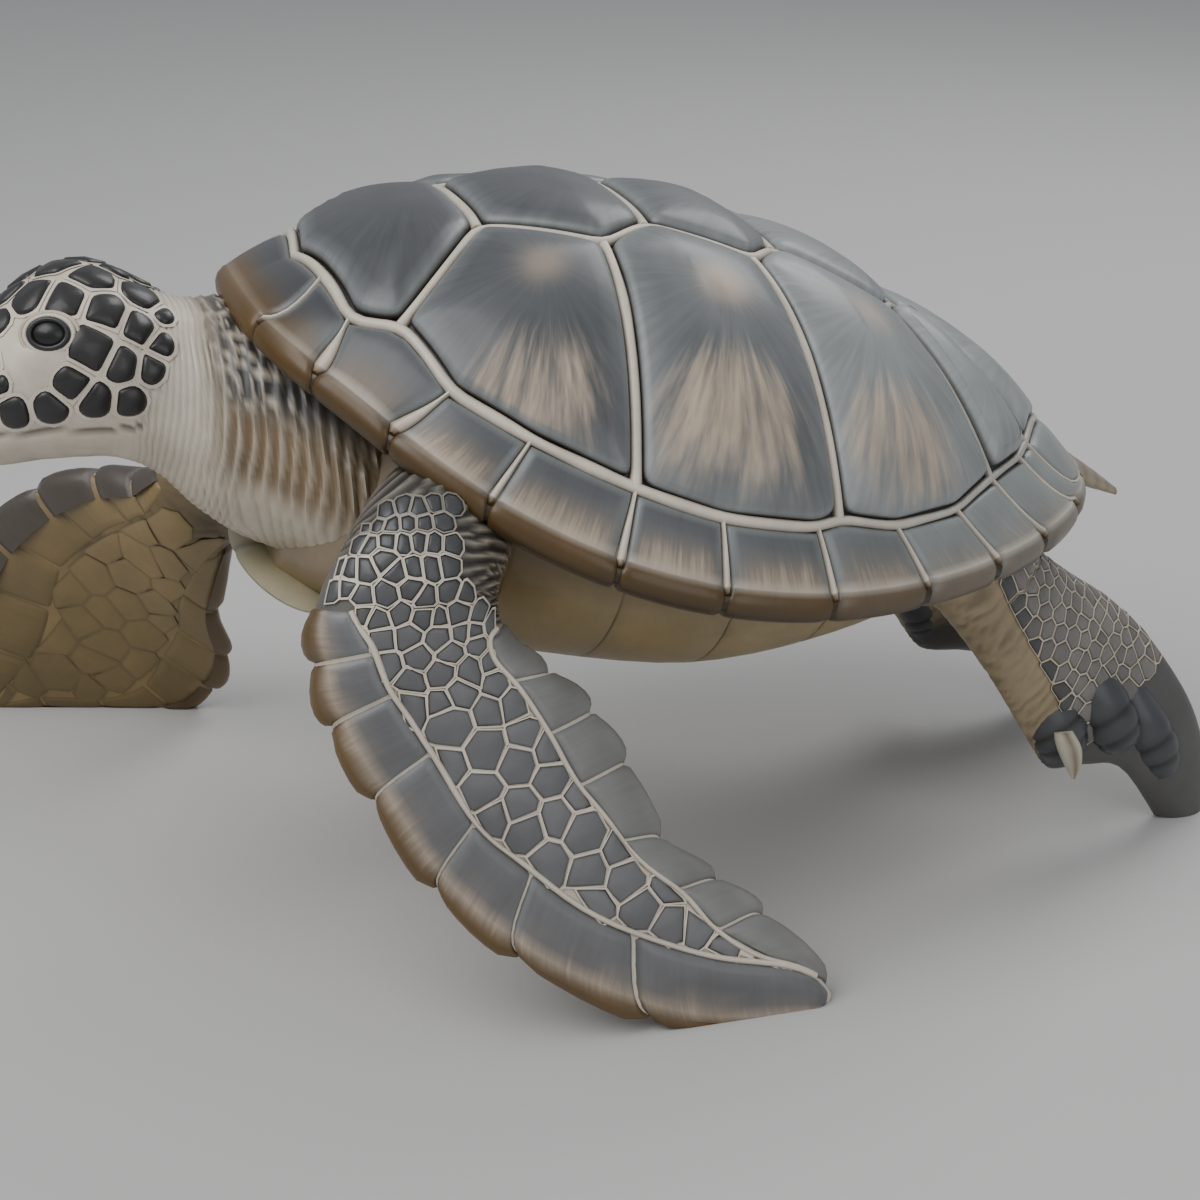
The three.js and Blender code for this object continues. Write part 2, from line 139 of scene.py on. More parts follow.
# Colours of the paint, as sRGB.
tones = {
    "slate": "#45474a", "slateDark": "#282b2f", "slatePale": "#929796", "cream": "#d4cab9", "skin": "#c2b7a4",
    "tan": "#bba892", "olive": "#5b4213", "oliveDark": "#35250a", "umber": "#1d1712", "charcoal": "#232222",
    "plastron": "#8f7b55", "plastronPale": "#a79f84", "horn": "#cbc5b0", "underTan": "#8a754c",
    "underMid": "#6e5c38", "underDark": "#4d3f20", "scaleGrey": "#75716d", "eye": "#080808",
    "flipperSlate": "#656566", "flipperGrey": "#7b7b78",
}
paint = {name: hexToLinear(code) for name, code in tones.items()}


def tint(tone, other, share):
    # a colour part of the way from one tone to another
    return mix(paint[tone], paint[other], share)


def painted(shape, base, *coats):
    # a first coat all over, then washes of (tone, share) over it; a tone is a name or a mixed colour
    colour = np.tile(paint[base] if isinstance(base, str) else base, (*shape, 1))
    for tone, share in coats:
        tone = paint[tone] if isinstance(tone, str) else tone
        colour = mix(colour, tone, np.broadcast_to(share, shape)[..., None])
    return colour


class Casting:
    # Closed bodies in millimetres that overlap to make one casting. Each point carries its paint; its shares
    #     of painted shade (in hollows), tan and radial brushwork; and a place that the brushwork follows.
    def __init__(self):
        self.points, self.quads, self.triangles = [], [], []
        self.paint, self.wash, self.flow = [], [], []
        self.count = 0

    def add(self, points, quads, triangles, colour, wash, flow):
        every = np.concatenate([triangles, quads[:, [0, 1, 2]], quads[:, [0, 2, 3]]])
        a, b, c = (points[every[:, k]] - points[0] for k in range(3))
        insideOut = np.einsum("ij,ij->", a, np.cross(b, c)) < 0
        order = -1 if insideOut else 1
        self.points.append(points)
        self.quads.append(quads[:, ::order] + self.count)
        self.triangles.append(triangles[:, ::order] + self.count)
        self.paint.append(colour)
        self.wash.append(wash)
        self.flow.append(flow)
        self.count += len(points)


grainSpacing = 9  # millimetres of surface to one unit of plain brush grain


def addGrid(casting, grid, caps, colour, recess=0, tan=0, radial=0, flow=None, wrapRows=False,
            wrapColumns=True):
    # Points on a grid, and the fans that close it. A cap is its loop of points, its tip, and the points whose
    # paint the tip takes.
    rows, columns = grid.shape[:2]
    row, column = np.meshgrid(np.arange(rows if wrapRows else rows - 1),
                              np.arange(columns if wrapColumns else columns - 1), indexing="ij")
    nextRow, nextColumn = (row + 1) % rows, (column + 1) % columns
    corners = [(row, column), (row, nextColumn), (nextRow, nextColumn), (nextRow, column)]
    quads = np.stack([r * columns + c for r, c in corners], -1).reshape(-1, 4)
    triangles = [np.zeros((0, 3), int)]
    for index, (loop, _, _) in enumerate(caps):
        triangles.append(np.stack([loop, np.roll(loop, -1), np.full(len(loop), rows * columns + index)], -1))
    points = np.concatenate([grid.reshape(-1, 3)] + [np.reshape(tip, (1, 3)) for _, tip, _ in caps])

    def spread(values):
        flat = np.broadcast_to(values, (rows, columns, 3)).reshape(-1, 3)
        return np.concatenate([flat] + [flat[like].mean(0, keepdims=True) for _, _, like in caps])

    wash = stacked(recess, tan, radial, np.zeros((rows, columns)))[..., :3]
    casting.add(points, quads, np.concatenate(triangles), spread(colour), spread(wash),
                points / grainSpacing if flow is None else spread(flow))


def addTube(casting, rings, colour, recess=0):
    rows, columns = rings.shape[:2]
    first = np.arange(columns)
    last = first + (rows - 1) * columns
    caps = [(first[::-1], rings[0].mean(0), first[:1]), (last, rings[-1].mean(0), last[:1])]
    addGrid(casting, rings, caps, colour, recess)


def addSheet(casting, sheet, core, colour, recess=0, tan=0, flow=None):
    # an open sheet, closed by a fan from its border to a point inside the body
    grid = np.arange(sheet.shape[0] * sheet.shape[1]).reshape(sheet.shape[:2])
    border = np.concatenate([grid[0, :-1], grid[:-1, -1], grid[-1, :0:-1], grid[:0:-1, 0]])
    addGrid(casting, sheet, [(border[::-1], core, [0])], colour, recess, tan, 0, flow, wrapColumns=False)


def addPad(casting, rings, top, core, colour, recess, tan=0, radial=0, flow=None):
    # a raised plate: rings from its foot inwards, one point on top and one inside the body
    rows, columns = rings.shape[:2]
    foot = np.arange(columns)
    inner = foot + (rows - 1) * columns
    addGrid(casting, rings, [(inner, top, inner), (foot[::-1], core, [0])], colour, recess, tan, radial, flow)


halvings = 12  # steps of the search for each inset ring


def insetRings(outline, middle, insets, rounding):
    # curves inside a flat outline, each at its own distance from it, drawn towards the middle
    edges = np.roll(outline, -1, 0) - outline
    lengths = np.maximum((edges ** 2).sum(-1), 1e-9)

    def distance(points):
        offset = points[:, None] - outline[None]
        share = np.clip((offset * edges).sum(-1) / lengths, 0, 1)
        return np.linalg.norm(offset - share[..., None] * edges, axis=-1).min(1)

    deepest = distance(np.array([middle]))[0]
    rings = []
    for inset in insets:
        if inset <= 0:
            rings.append(outline)
            continue
        low, high = np.zeros(len(outline)), np.ones(len(outline))
        for _ in range(halvings):
            half = (low + high) / 2
            near = distance(outline + (middle - outline) * half[:, None]) < min(inset, 0.93 * deepest)
            low, high = np.where(near, half, low), np.where(near, high, half)
        ring = outline + (middle - outline) * ((low + high) / 2)[:, None]
        for _ in range(rounding):
            ring = (np.roll(ring, 1, 0) + 2 * ring + np.roll(ring, -1, 0)) / 4
        rings.append(ring)
    return rings, deepest


# Section of a cord: sideways in half widths, up in heights, painted shade (darkest at the sunk feet).
weltProfile = np.array([[-1.06, -1, 1], [-0.94, 0.25, 0.3], [-0.42, 0.95, 0], [0.42, 0.95, 0],
                        [0.94, 0.25, 0.3], [1.06, -1, 1]])


def addWelt(casting, centres, normals, width, height, colour, sink=2.2):
    # a rounded cord of resin laid along a seam, its feet sunk in the ground
    aside, up, recess = weltProfile.T
    side = unit(np.cross(normals, unit(np.gradient(centres, axis=0))))
    width, height = (np.broadcast_to(value, len(centres))[:, None] for value in (width, height))
    rise = np.where(up < 0, -sink, up * height)
    rings = centres[:, None] + side[:, None] * (aside * width / 2)[..., None]
    rings = rings + normals[:, None] * rise[..., None]
    addTube(casting, rings, colour, recess)


# Shell, level: along runs from 0 at the front rim to 1 at the rear rim, across from -1 to 1.
shell = {
    "length": 600, "halfWidth": 246, "widePlace": 0.842, "widthBluntness": 0.463,
    "height": 182, "highPlace": 0.844, "heightBluntness": 0.885, "archPower": 2.836, "archBluntness": 0.968,
    "rimTilt": 26, "rimSag": 288, "rimSkew": 150, "pitch": 14.7, "collarReach": 16, "collarSpread": 0.05,
    "plateGap": 4.0, "plateDome": 9, "plateTop": 4.0, "plateSpacing": 12, "cornerSteps": (3.0, 6.5, 11),
    # rings of a plate: inset beyond the gap and height up to its shoulder, then shares of its depth
    "plateInsets": [0, 0, 0.9, 2.4, 5.5], "plateHeights": [-3.5, 0.4, 2.1, 3.3, 4.0],
    "plateShares": [0.34, 0.52, 0.7, 0.86], "edgeRounding": 3, "innerRounding": 5, "coreDepth": 14.0,
    # the areola's place: towards the middle on a costal, millimetres behind it on a vertebral
    "areolaShare": 0.54, "spineAreola": 22,
    # the ground under the plates: along, across and depth
    "groundAlong": (0.03, 0.962, 56), "groundAcross": (-0.97, 0.97, 48), "groundDepth": 2.0,
    "weltWidth": 7.4, "weltHeight": 3.0, "weltSpacing": 8,
}


def halfWidthAt(along):
    inside = np.clip(along, 1e-4, 0.9999)
    return shell["halfWidth"] * np.sin(np.pi * inside ** shell["widePlace"]) ** shell["widthBluntness"]


def shellPoint(along, across):
    along, across = np.asarray(along, float), np.asarray(across, float)
    share = np.minimum(np.abs(across), 1)
    fromMiddle = along - 0.5
    rimHeight = shell["rimTilt"] * fromMiddle + shell["rimSag"] * fromMiddle ** 2
    rimHeight = rimHeight - shell["rimSkew"] * fromMiddle ** 3
    inside = np.clip(along, 1e-4, 0.9999)
    dome = shell["height"] * np.sin(np.pi * inside ** shell["highPlace"]) ** shell["heightBluntness"]
    collar = shell["collarReach"] * bell(along, 0, shell["collarSpread"]) * share
    z = rimHeight + dome * np.maximum(0, 1 - share ** shell["archPower"]) ** shell["archBluntness"]
    return stacked(halfWidthAt(along) * across, fromMiddle * shell["length"] - collar, z)


def shellNormal(along, across):
    a, c = np.clip(along, 0.02, 0.98), np.clip(across, -0.985, 0.985)
    step = 0.004
    ahead = shellPoint(a + step, c) - shellPoint(a - step, c)
    aside = shellPoint(a, c + step) - shellPoint(a, c - step)
    return unit(np.cross(aside, ahead))


def pitched(points):
    # the level shell is tipped with its front up
    angle = math.radians(shell["pitch"])
    cosine, sine = math.cos(angle), math.sin(angle)
    x, y, z = np.moveaxis(points, -1, 0)
    return stacked(x, y * cosine + z * sine, z * cosine - y * sine)


def shellSkin(along, across, lift=0.0):
    lift = np.asarray(lift, float)[..., None]
    return pitched(shellPoint(along, across) + shellNormal(along, across) * lift)


# Flat pattern of the shell in millimetres: distance along it, and distance round it from the middle line.
patternRows = 101
patternColumns = np.linspace(-1, 1, 241)
patternArc = runLength(shellPoint(np.linspace(0, 1, patternRows)[:, None], patternColumns[None, :]), 1)
patternArc -= patternArc[:, [len(patternColumns) // 2]]


def patternRead(along, values, flatten):
    row = np.clip(along, 0, 1) * (patternRows - 1)
    low = np.minimum(row.astype(int), patternRows - 2)
    read = []
    for k in (0, 1):
        pairs = [(patternColumns, arc) if flatten else (arc, patternColumns) for arc in patternArc[low + k]]
        read.append(np.array([np.interp(v, *pair) for v, pair in zip(values, pairs)]))
    return mix(read[0], read[1], row - low)


def toPattern(along, across):
    return np.stack([along * shell["length"], patternRead(along, across, True)], -1)


def fromPattern(flat):
    along = flat[:, 0] / shell["length"]
    return along, patternRead(along, flat[:, 1], False)


# Junctions of the scute seams on the left half of the shell: along, across.
junction = {
    "frontMiddle": (0.028, 0), "nuchal": (0.045, 0.476), "v1m1": (0.061, 0.764), "v1c1": (0.103, 0.738),
    "v1v2": (0.192, 0.284), "c1c2": (0.315, 0.389), "v2v3": (0.372, 0.26), "c2c3": (0.49, 0.341),
    "v3v4": (0.53, 0.217), "c3c4": (0.674, 0.299), "v4v5": (0.707, 0.139), "edge1": (0.15, 0.869),
    "edge2": (0.23, 0.896), "edge3": (0.338, 0.915), "edge4": (0.433, 0.926), "edge5": (0.544, 0.923),
    "edge6": (0.57, 0.909), "edge7": (0.644, 0.918), "edge8": (0.729, 0.896), "edge9": (0.784, 0.83),
    "edge10": (0.837, 0.758), "edge11": (0.856, 0.689), "edge12": (0.925, 0.33), "rearMiddle": (0.945, 0),
}
costals = [
    ["v1c1", "v1v2", "c1c2", "edge3", "edge2", "edge1"],
    ["c1c2", "v2v3", "c2c3", "edge6", "edge5", "edge4", "edge3"],
    ["c2c3", "v3v4", "c3c4", "edge9", "edge8", "edge7", "edge6"],
    ["c3c4", "v4v5", "edge11", "edge10", "edge9"],
]
vertebrals = [
    ["nuchal", "v1m1", "v1c1", "v1v2"], ["v1v2", "c1c2", "v2v3"], ["v2v3", "c2c3", "v3v4"],
    ["v3v4", "c3c4", "v4v5"], ["v4v5", "edge11", "edge12", "rearMiddle"],
]
seamRuns = [
    ["v1c1", "v1v2", "c1c2", "v2v3", "c2c3", "v3v4", "c3c4", "v4v5", "edge11"],
    ["c1c2", "edge3"], ["c2c3", "edge6"], ["c3c4", "edge9"],
    ["frontMiddle", "nuchal", "v1m1", "v1c1"] + ["edge%d" % k for k in range(1, 13)] + ["rearMiddle"],
]
crossSeams = ["v1v2", "v2v3", "v3v4", "v4v5"]
paleness = [0.08, 0.3, 0.75, 0.95]  # of the costals from front to rear, as the paint grows paler
spinePaleness = [0.0, 0.05, 0.2, 0.6, 0.9]  # of the vertebrals
tanShares = [0.75, 1.0, 0.8, 0.4]  # strength of the tan streaks on the costals
spineTan = 0.3


def place(name, side=1):
    return np.array(junction[name]) * [1, side]


def seamPath(corners, closed, spacing, cornerSteps=()):
    # places along the seams between the corners, with more of them near each corner
    path = []
    following = corners[1:] + corners[:1] if closed else corners[1:]
    for start, end in zip(corners, following):
        length = np.linalg.norm(shellPoint(*start) - shellPoint(*end))
        near = [d / length for d in cornerSteps if d < length * 0.4]
        inner = near[-1] if near else 0
        steps = max(1, round(length * (1 - 2 * inner) / spacing))
        between = [mix(inner, 1 - inner, k / steps) for k in range(1, steps)]
        shares = [0, *near, *between] + [1 - share for share in near[::-1]]
        path += [mix(start, end, share) for share in shares]
    return np.array(path if closed else path + [corners[-1]])


def addPlate(casting, corners, seed, costal, pale, tanShare):
    outline = toPattern(*seamPath(corners, True, shell["plateSpacing"], shell["cornerSteps"]).T)
    middle = outline.mean(0)
    insets = [shell["plateGap"] + inset for inset in shell["plateInsets"]]
    edge, deepest = insetRings(outline, middle, insets, shell["edgeRounding"])
    innerInsets = [share * deepest for share in shell["plateShares"]]
    inner, _ = insetRings(outline, middle, innerInsets, shell["innerRounding"])
    flats = np.array(edge + inner)
    depths = np.array([min(inset / deepest, 1) for inset in insets] + shell["plateShares"])
    rise = np.array(shell["plateHeights"] + [shell["plateTop"]] * len(inner))
    rise = rise + shell["plateDome"] * (1 - (1 - depths) ** 2)
    if costal:
        areola = mix(toPattern(*np.array(corners[1:3]).T).mean(0), middle, shell["areolaShare"])
        down = unit(middle - areola)
    else:
        areola, down = middle + np.array([shell["spineAreola"], 0]), np.array([1.0, 0])
    axes = np.stack([down, [-down[1], down[0]]], -1)
    along, across = fromPattern(flats.reshape(-1, 2))
    rings = shellSkin(along, across, np.repeat(rise, len(outline))).reshape(*flats.shape[:2], 3)
    topPlace = fromPattern(middle[None])
    top = shellSkin(*topPlace, np.array([shell["plateTop"] + shell["plateDome"]]))[0]
    core = shellSkin(*topPlace, np.array([-shell["coreDepth"]]))[0]
    slate = tint("slate", "slatePale", pale)
    dark = 1 - 0.6 * pale
    colour = painted(flats.shape[:2], slate)
    # from the groove up: painted shade at the plate's foot, then a pale line along the cushioned border
    border = [("umber", dark), ("umber", 0.75 * dark)] + [("slatePale", share) for share in (0.35, 0.5, 0.2)]
    for ring, (tone, share) in enumerate(border):
        colour[ring] = mix(slate, paint[tone], share)
    # painted shade at the plate's foot, through the shade share
    recess = np.zeros(flats.shape[:2])
    recess[:2] = [[0.9 * dark], [0.5 * dark]]
    tan = np.full(flats.shape[:2], tanShare)
    tan[:4] *= np.array([[0], [0], [0.1], [0.5]])
    flow = np.concatenate([(flats - areola) @ axes, np.full((*flats.shape[:2], 1), seed * 7.3)], -1)
    addPad(casting, rings, top, core, colour, recess, tan, 1, flow)


def addSeamRun(casting, corners):
    along, across = seamPath(corners, False, shell["weltSpacing"]).T
    for _ in range(2):
        for row in (along, across):
            row[1:-1] = (row[:-2] + 2 * row[1:-1] + row[2:]) / 4
    points = shellSkin(along, across, np.full(len(along), 0.2))
    normals = unit(shellSkin(along, across, np.full(len(along), 1.2)) - points)
    rear = ramp(along, 0.5, 0.85)
    wavy = 1 + 0.14 * softNoise(np.arange(len(along)) / 4, len(along), 2)
    width = shell["weltWidth"] * wavy * (1 - 0.3 * rear)
    tone = painted((len(along), 1), "cream", ("slatePale", 0.55 * rear[:, None]))
    addWelt(casting, points, normals, width, shell["weltHeight"] * (1 - 0.3 * rear), tone)


def addDome(casting):
    along, across = np.meshgrid(np.linspace(*shell["groundAlong"]), np.linspace(*shell["groundAcross"]),
                                indexing="ij")
    ground = shellSkin(along, across, np.full(along.shape, -shell["groundDepth"]))
    addSheet(casting, ground, pitched(np.array([0.0, 0.0, -10.0])), paint["umber"])
    for index, names in enumerate(costals):
        for side in (1, -1):
            corners = [place(name, side) for name in names]
            addPlate(casting, corners, 2 * index + side, True, paleness[index], tanShares[index])
    for index, names in enumerate(vertebrals):
        right = [place(name, -1) for name in reversed(names) if name != "rearMiddle"]
        corners = [place(name) for name in names] + right
        if index == 0:
            corners.append(place("frontMiddle"))
        addPlate(casting, corners, 20 + index, False, spinePaleness[index], spineTan)
    for side in (1, -1):
        for names in seamRuns:
            addSeamRun(casting, [place(name, side) for name in names])
    for name in crossSeams:
        addSeamRun(casting, [place(name, -1), place(name)])


# Rim: marginal scutes that curl over the edge.
rim = {
    "thickness": 19, "lip": 6, "notch": 3.2, "inset": 3.4, "narrowSeam": 2.4, "hiddenSeam": 0.9,
    # seam's junction on the dome's edge, its place along the rim, its width there
    "seams": [("nuchal", 0.01, 3.4), ("v1m1", 0.044, 10), ("edge1", 0.103, 9), ("edge2", 0.197, 4.6),
              ("edge3", 0.329, 5.4), ("edge4", 0.445, 4.6), ("edge5", 0.571, 4.6), ("edge7", 0.69, 4.4),
              ("edge8", 0.793, 4.2), ("edge9", 0.873, 4), ("edge10", 0.946, 3.6), ("edge11", 0.987, 3.4)],
    # section under the edge: outwards in lips, down in thicknesses
    "wall": [[0, 0], [1, -0.3], [1, -0.66], [0.25, -0.95], [-3.2, -1.04], [-8, -0.8]],
    "rows": [0, 0.03, 0.09, 0.18, 0.34, 0.52, 0.7, 0.84, 0.93, 1.0, 1.06, 1.13, 1.22, 1.34, 1.48, 1.62, 1.76,
             1.9],
    "columns": [0, 0.018, 0.045, 0.11, 0.24, 0.41, 0.59, 0.76, 0.89, 0.955, 0.982, 1],
    "groundRows": [0, 0.12, 0.35, 0.6, 0.85, 0.95, 1.0, 1.08, 1.2, 1.35, 1.5, 1.65, 1.8, 1.95],
    "weltRows": [0, 0.08, 0.2, 0.35, 0.5, 0.65, 0.8, 0.9, 1.0, 1.06, 1.14], "weltHeight": 2.1,
    "frontTan": [0.0, 0.05, 0.15, 0.6],  # how far the glow of the first scutes goes from olive to tan
}
# A junction on a marginal scute's inner border, and how far along that border it lies.
cornerUnder = {"v1m1": ("v1c1", 0.5), "edge5": ("edge6", 0.26), "edge11": ("edge12", 0.5)}

# Length round the rim from the front middle, so that every marginal scute is divided evenly.
rimAlong = 0.5 - 0.5 * np.cos(np.pi * np.linspace(0, 1, 900))
rimEdge = shellPoint(rimAlong, np.ones(len(rimAlong)))
rimArc = rimEdge[0, 0] + runLength(rimEdge)
rimLength = rimArc[-1] + rimEdge[-1, 0]
rimStops = [("frontMiddle", 0.0, 0)]
rimStops += [(name, float(np.interp(along, rimAlong, rimArc)), width) for name, along, width in rim["seams"]]
rimStops += [("rearMiddle", rimLength, 2.6)]
lastScute = len(rimStops) - 2


def rimSkin(index, u, s):
    # left half: u runs from one seam to the next, s is 0 at the dome, 1 at the edge and 2 under the rim
    u, s = np.broadcast_arrays(np.asarray(u, float), np.asarray(s, float))
    here, following = rimStops[index], rimStops[index + 1]
    start, end = place(here[0]), place(following[0])
    inner = mix(start, end, u[..., None])
    if here[0] in cornerUnder:
        name, share = cornerUnder[here[0]]
        first, second = u[..., None] / share, (u[..., None] - share) / (1 - share)
        inner = np.where(first < 1, mix(start, place(name), first), mix(place(name), end, second))
    arc = mix(here[1], following[1], u)
    outer = np.interp(arc, rimArc, rimAlong)
    onTop = np.clip(s, 0, 1)
    edge = shellPoint(outer, np.ones(outer.shape))
    edge[..., 0] = np.minimum(edge[..., 0], np.minimum(arc, rimLength - arc))
    path = shellPoint(mix(inner[..., 0], outer, onTop), mix(inner[..., 1], 1.0, onTop))
    straight = mix(shellPoint(inner[..., 0], inner[..., 1]), edge, onTop[..., None])
    # at the front and rear middle the surface runs straight out, not along the shell's own lines
    weight = {0: 1 - u ** 2, lastScute: 1 - (1 - u) ** 2}.get(index, 0 * u)
    top = mix(path, straight, weight[..., None])
    step = 0.006
    run = (shellPoint(np.minimum(outer + step, 1), np.ones(outer.shape))
           - shellPoint(np.maximum(outer - step, 0), np.ones(outer.shape)))
    run = unit(run * [1, 1, 0])
    wall = through(rim["wall"], np.clip(s - 1, 0, 1)).reshape(*s.shape, 2)
    under = edge + stacked(run[..., 1], -run[..., 0], 0) * (wall[..., :1] * rim["lip"])
    under[..., 2] += wall[..., 1] * rim["thickness"]
    return np.where((s <= 1)[..., None], top, under)


def gridNormals(points):
    normals = unit(np.cross(np.gradient(points, axis=0), np.gradient(points, axis=1)))
    return normals if normals[4, points.shape[1] // 2, 2] > 0 else -normals


def addMarginal(casting, index):
    s = np.array(rim["rows"])[:, None]
    share = np.array(rim["columns"])[None, :]
    here, following = rimStops[index], rimStops[index + 1]
    width = np.maximum(np.linalg.norm(rimSkin(index, 0, s) - rimSkin(index, 1, s), axis=-1), 8)
    seam = mix(rim["narrowSeam"], np.array([here[2], following[2]]), ramp(s, 0.05, 0.95))
    seam = mix(seam, rim["hiddenSeam"], ramp(s, 1.0, 1.18)) / 2
    low = 0 * width if index == 0 else seam[:, :1] / width
    high = 1 - seam[:, 1:] / width
    u = mix(low, high, share)
    inset = rim["inset"] / np.linalg.norm(rimSkin(index, 0.5, 0) - rimSkin(index, 0.5, 1))
    sheet = rimSkin(index, u, np.where(s < 1, inset + s * (1 - inset), s))
    normals = gridNormals(sheet)
    fromSeam = (1 - share if index == 0 else np.minimum(share, 1 - share)) * (high - low) * width
    border = np.minimum(fromSeam, runLength(sheet[:, 6])[:, None])
    lift = -1.8 + 3.7 * ramp(border, -0.4, 2.4) + 1.1 * ramp(border, 2, 13)
    lift = mix(lift, np.minimum(lift, 1.4), ramp(s, 1.05, 1.2))
    rearward = ramp(here[1] / rimLength, 0.42, 0.74)
    # towards the rear the outer corners are rounded, so that the edge is notched at every seam
    notch = rim["notch"] * (0.35 + rearward) * (1 - ramp(fromSeam, 0, 9)) * ramp(s, 0.8, 1.0)
    sunk = np.zeros(lift.shape, bool)
    sunk[0] = sunk[:, -1] = True
    sunk[:, 0] |= index > 0
    lift = np.where(sunk, -2.2, lift)
    inwards = unit(sheet * [0, 0.5, 0] - sheet)
    sheet = sheet + normals * lift[..., None] + inwards * notch[..., None]
    slate = tint("slate", "slatePale", 0.1 + 0.75 * rearward)
    slate = mix(slate, paint["slateDark"], 0.6 * (1 - ramp(here[1], 60, 180)))
    # a paler line along each scute's border, on top of the rim
    paleBorder = (1 - ramp(border, 1.5, 6)) * (1 - ramp(s, 0.9, 1.05))
    glow = ramp(s, 0.3, 0.95) * ramp(fromSeam, 0, 12) * (0.85 - 0.45 * rearward)
    plain = 1 - 0.5 * rearward
    colour = painted(u.shape, slate, ("slatePale", 0.55 * paleBorder),
                     (tint("olive", "tan", rim["frontTan"][min(index, 3)]), 0.75 * glow),
                     # a painted highlight: a bright cream line along the rim's edge
                     ("cream", (0.5 + 0.25 * rearward) * bell(s, 0.98, 0.07)),
                     (tint("olive", "oliveDark", 0.3), ramp(s, 1.04, 1.14) * plain),
                     ("oliveDark", 0.8 * ramp(s, 1.12, 1.6) * plain),
                     ("olive", 0.7 * (1 - ramp(here[1], 20, 130)) * ramp(s, 0.55, 0.95)))
    warm = ramp(s, 0.3, 0.9) * (1 - ramp(s, 0.97, 1.08)) * ramp(fromSeam, 1, 12) * (0.6 - 0.3 * rearward)
    warm = warm * (0.1 if index < 3 else 1.0)
    # painted shade in the seams at each scute's border
    recess = 0.95 * (1 - ramp(border, 0.0, 0.8))
    arc = mix(here[1], following[1], u)
    flow = stacked(arc / 2.6, s * 1.1, index * 9.7)
    core = rimSkin(index, 0.0 if index == 0 else 0.5, 1.0) * [0 if index == 0 else 0.93, 0.93, 1] - [0, 0, 8]
    if index > 0:
        for side in (1, -1):
            flipped, tip = (pitched(points * [side, 1, 1]) for points in (sheet, core))
            addSheet(casting, flipped, tip, colour, recess, warm, flow + side * 3)
        return
    # the scute at the front middle is one sheet with both halves
    mirror = np.array([-1, 1, 1])
    whole = [np.concatenate([values[:, :0:-1] * sign, values], 1) for values, sign in
             ((sheet, mirror), (colour, 1), (recess, 1), (warm, 1), (flow, mirror))]
    addSheet(casting, pitched(whole[0]), pitched(core), *whole[1:])


def addRimGround(casting):
    # the ring that the marginal scutes lie on, seen in the seams between them
    s = np.array(rim["groundRows"])
    half = [rimSkin(index, u, s) for index in range(lastScute + 1) for u in (0, 0.2, 0.4, 0.6, 0.8)]
    half = np.array(half + [rimSkin(lastScute, 1.0, s)])
    half = half - gridNormals(half.transpose(1, 0, 2)).transpose(1, 0, 2) * 1.5
    half[[0, -1], :, 0] = 0
    inwards = half[:, :1] * [0.94, 0.94, 1] - [0, 0, 6]
    closing = half[:, -1:] * [0.88, 0.88, 1]
    half = np.concatenate([inwards, half[:, 1:], closing], 1)
    ring = np.concatenate([half, half[-2:0:-1] * [-1, 1, 1]])
    reach = np.concatenate([[0], s[1:], [2.0]])
    tone = painted(reach.shape, "cream", ("oliveDark", ramp(reach, 0.97, 1.1)))
    # painted shade over all of this ground, which shows only in the seams
    addGrid(casting, pitched(ring), [], tone, 0.35, wrapRows=True)


def addRimWelt(casting, index):
    run = np.array(rim["weltRows"])
    centres = rimSkin(index, 0.0, run)
    normals = unit(np.cross(rimSkin(index, 0.06, run) - centres, np.gradient(centres, axis=0)))
    normals = normals if normals[3, 2] > 0 else -normals
    seamWidth = rimStops[index][2]
    width = mix(2.6, seamWidth * 0.95, ramp(run, 0.1, 0.9)) * (1 - 0.6 * ramp(run, 1.0, 1.14))
    low = ramp(run, 1.0, 1.1)
    wide = 0.5 if seamWidth > 6 else 0.0
    tone = painted(run.shape, "cream", ("olive", low), ("tan", wide * ramp(run, 0.3, 0.9) * (1 - low)))
    for side in (1, -1):
        path, outward = (pitched(points * [side, 1, 1]) for points in (centres, normals))
        addWelt(casting, path, outward, np.maximum(width, 1), rim["weltHeight"], tone[:, None])


def addRim(casting):
    for index in range(lastScute + 1):
        addMarginal(casting, index)
    addRimGround(casting)
    for index in range(1, lastScute + 1):
        addRimWelt(casting, index)


# Trunk, plastron and its front lip: y, half width, top, bottom, squareness of the level body.
trunk = {
    "stations": [
        [-262, 60, -40, -104, 2.2], [-235, 120, 20, -112, 2.4], [-180, 165, 80, -117, 2.6],
        [-100, 190, 110, -113, 3], [0, 196, 115, -105, 3], [90, 176, 110, -80, 2.8], [170, 140, 98, -48, 2.5],
        [235, 95, 82, -14, 2.2], [272, 40, 66, 14, 2],
    ],
    "seamPlaces": [-150, -75, 0, 75, 140], "seamAngles": [270, 236, 304], "seamWidth": 1.3, "seamDepth": 1.2,
    "lipMiddle": (0, -246, -103), "lipReach": 36, "lipHalfWidth": 104, "lipThickness": 18, "lipNotch": 1.4,
}


def superEllipse(angle, power):
    c, s = np.cos(angle), np.sin(angle)
    return np.sign(c) * np.abs(c) ** (2 / power), np.sign(s) * np.abs(s) ** (2 / power)


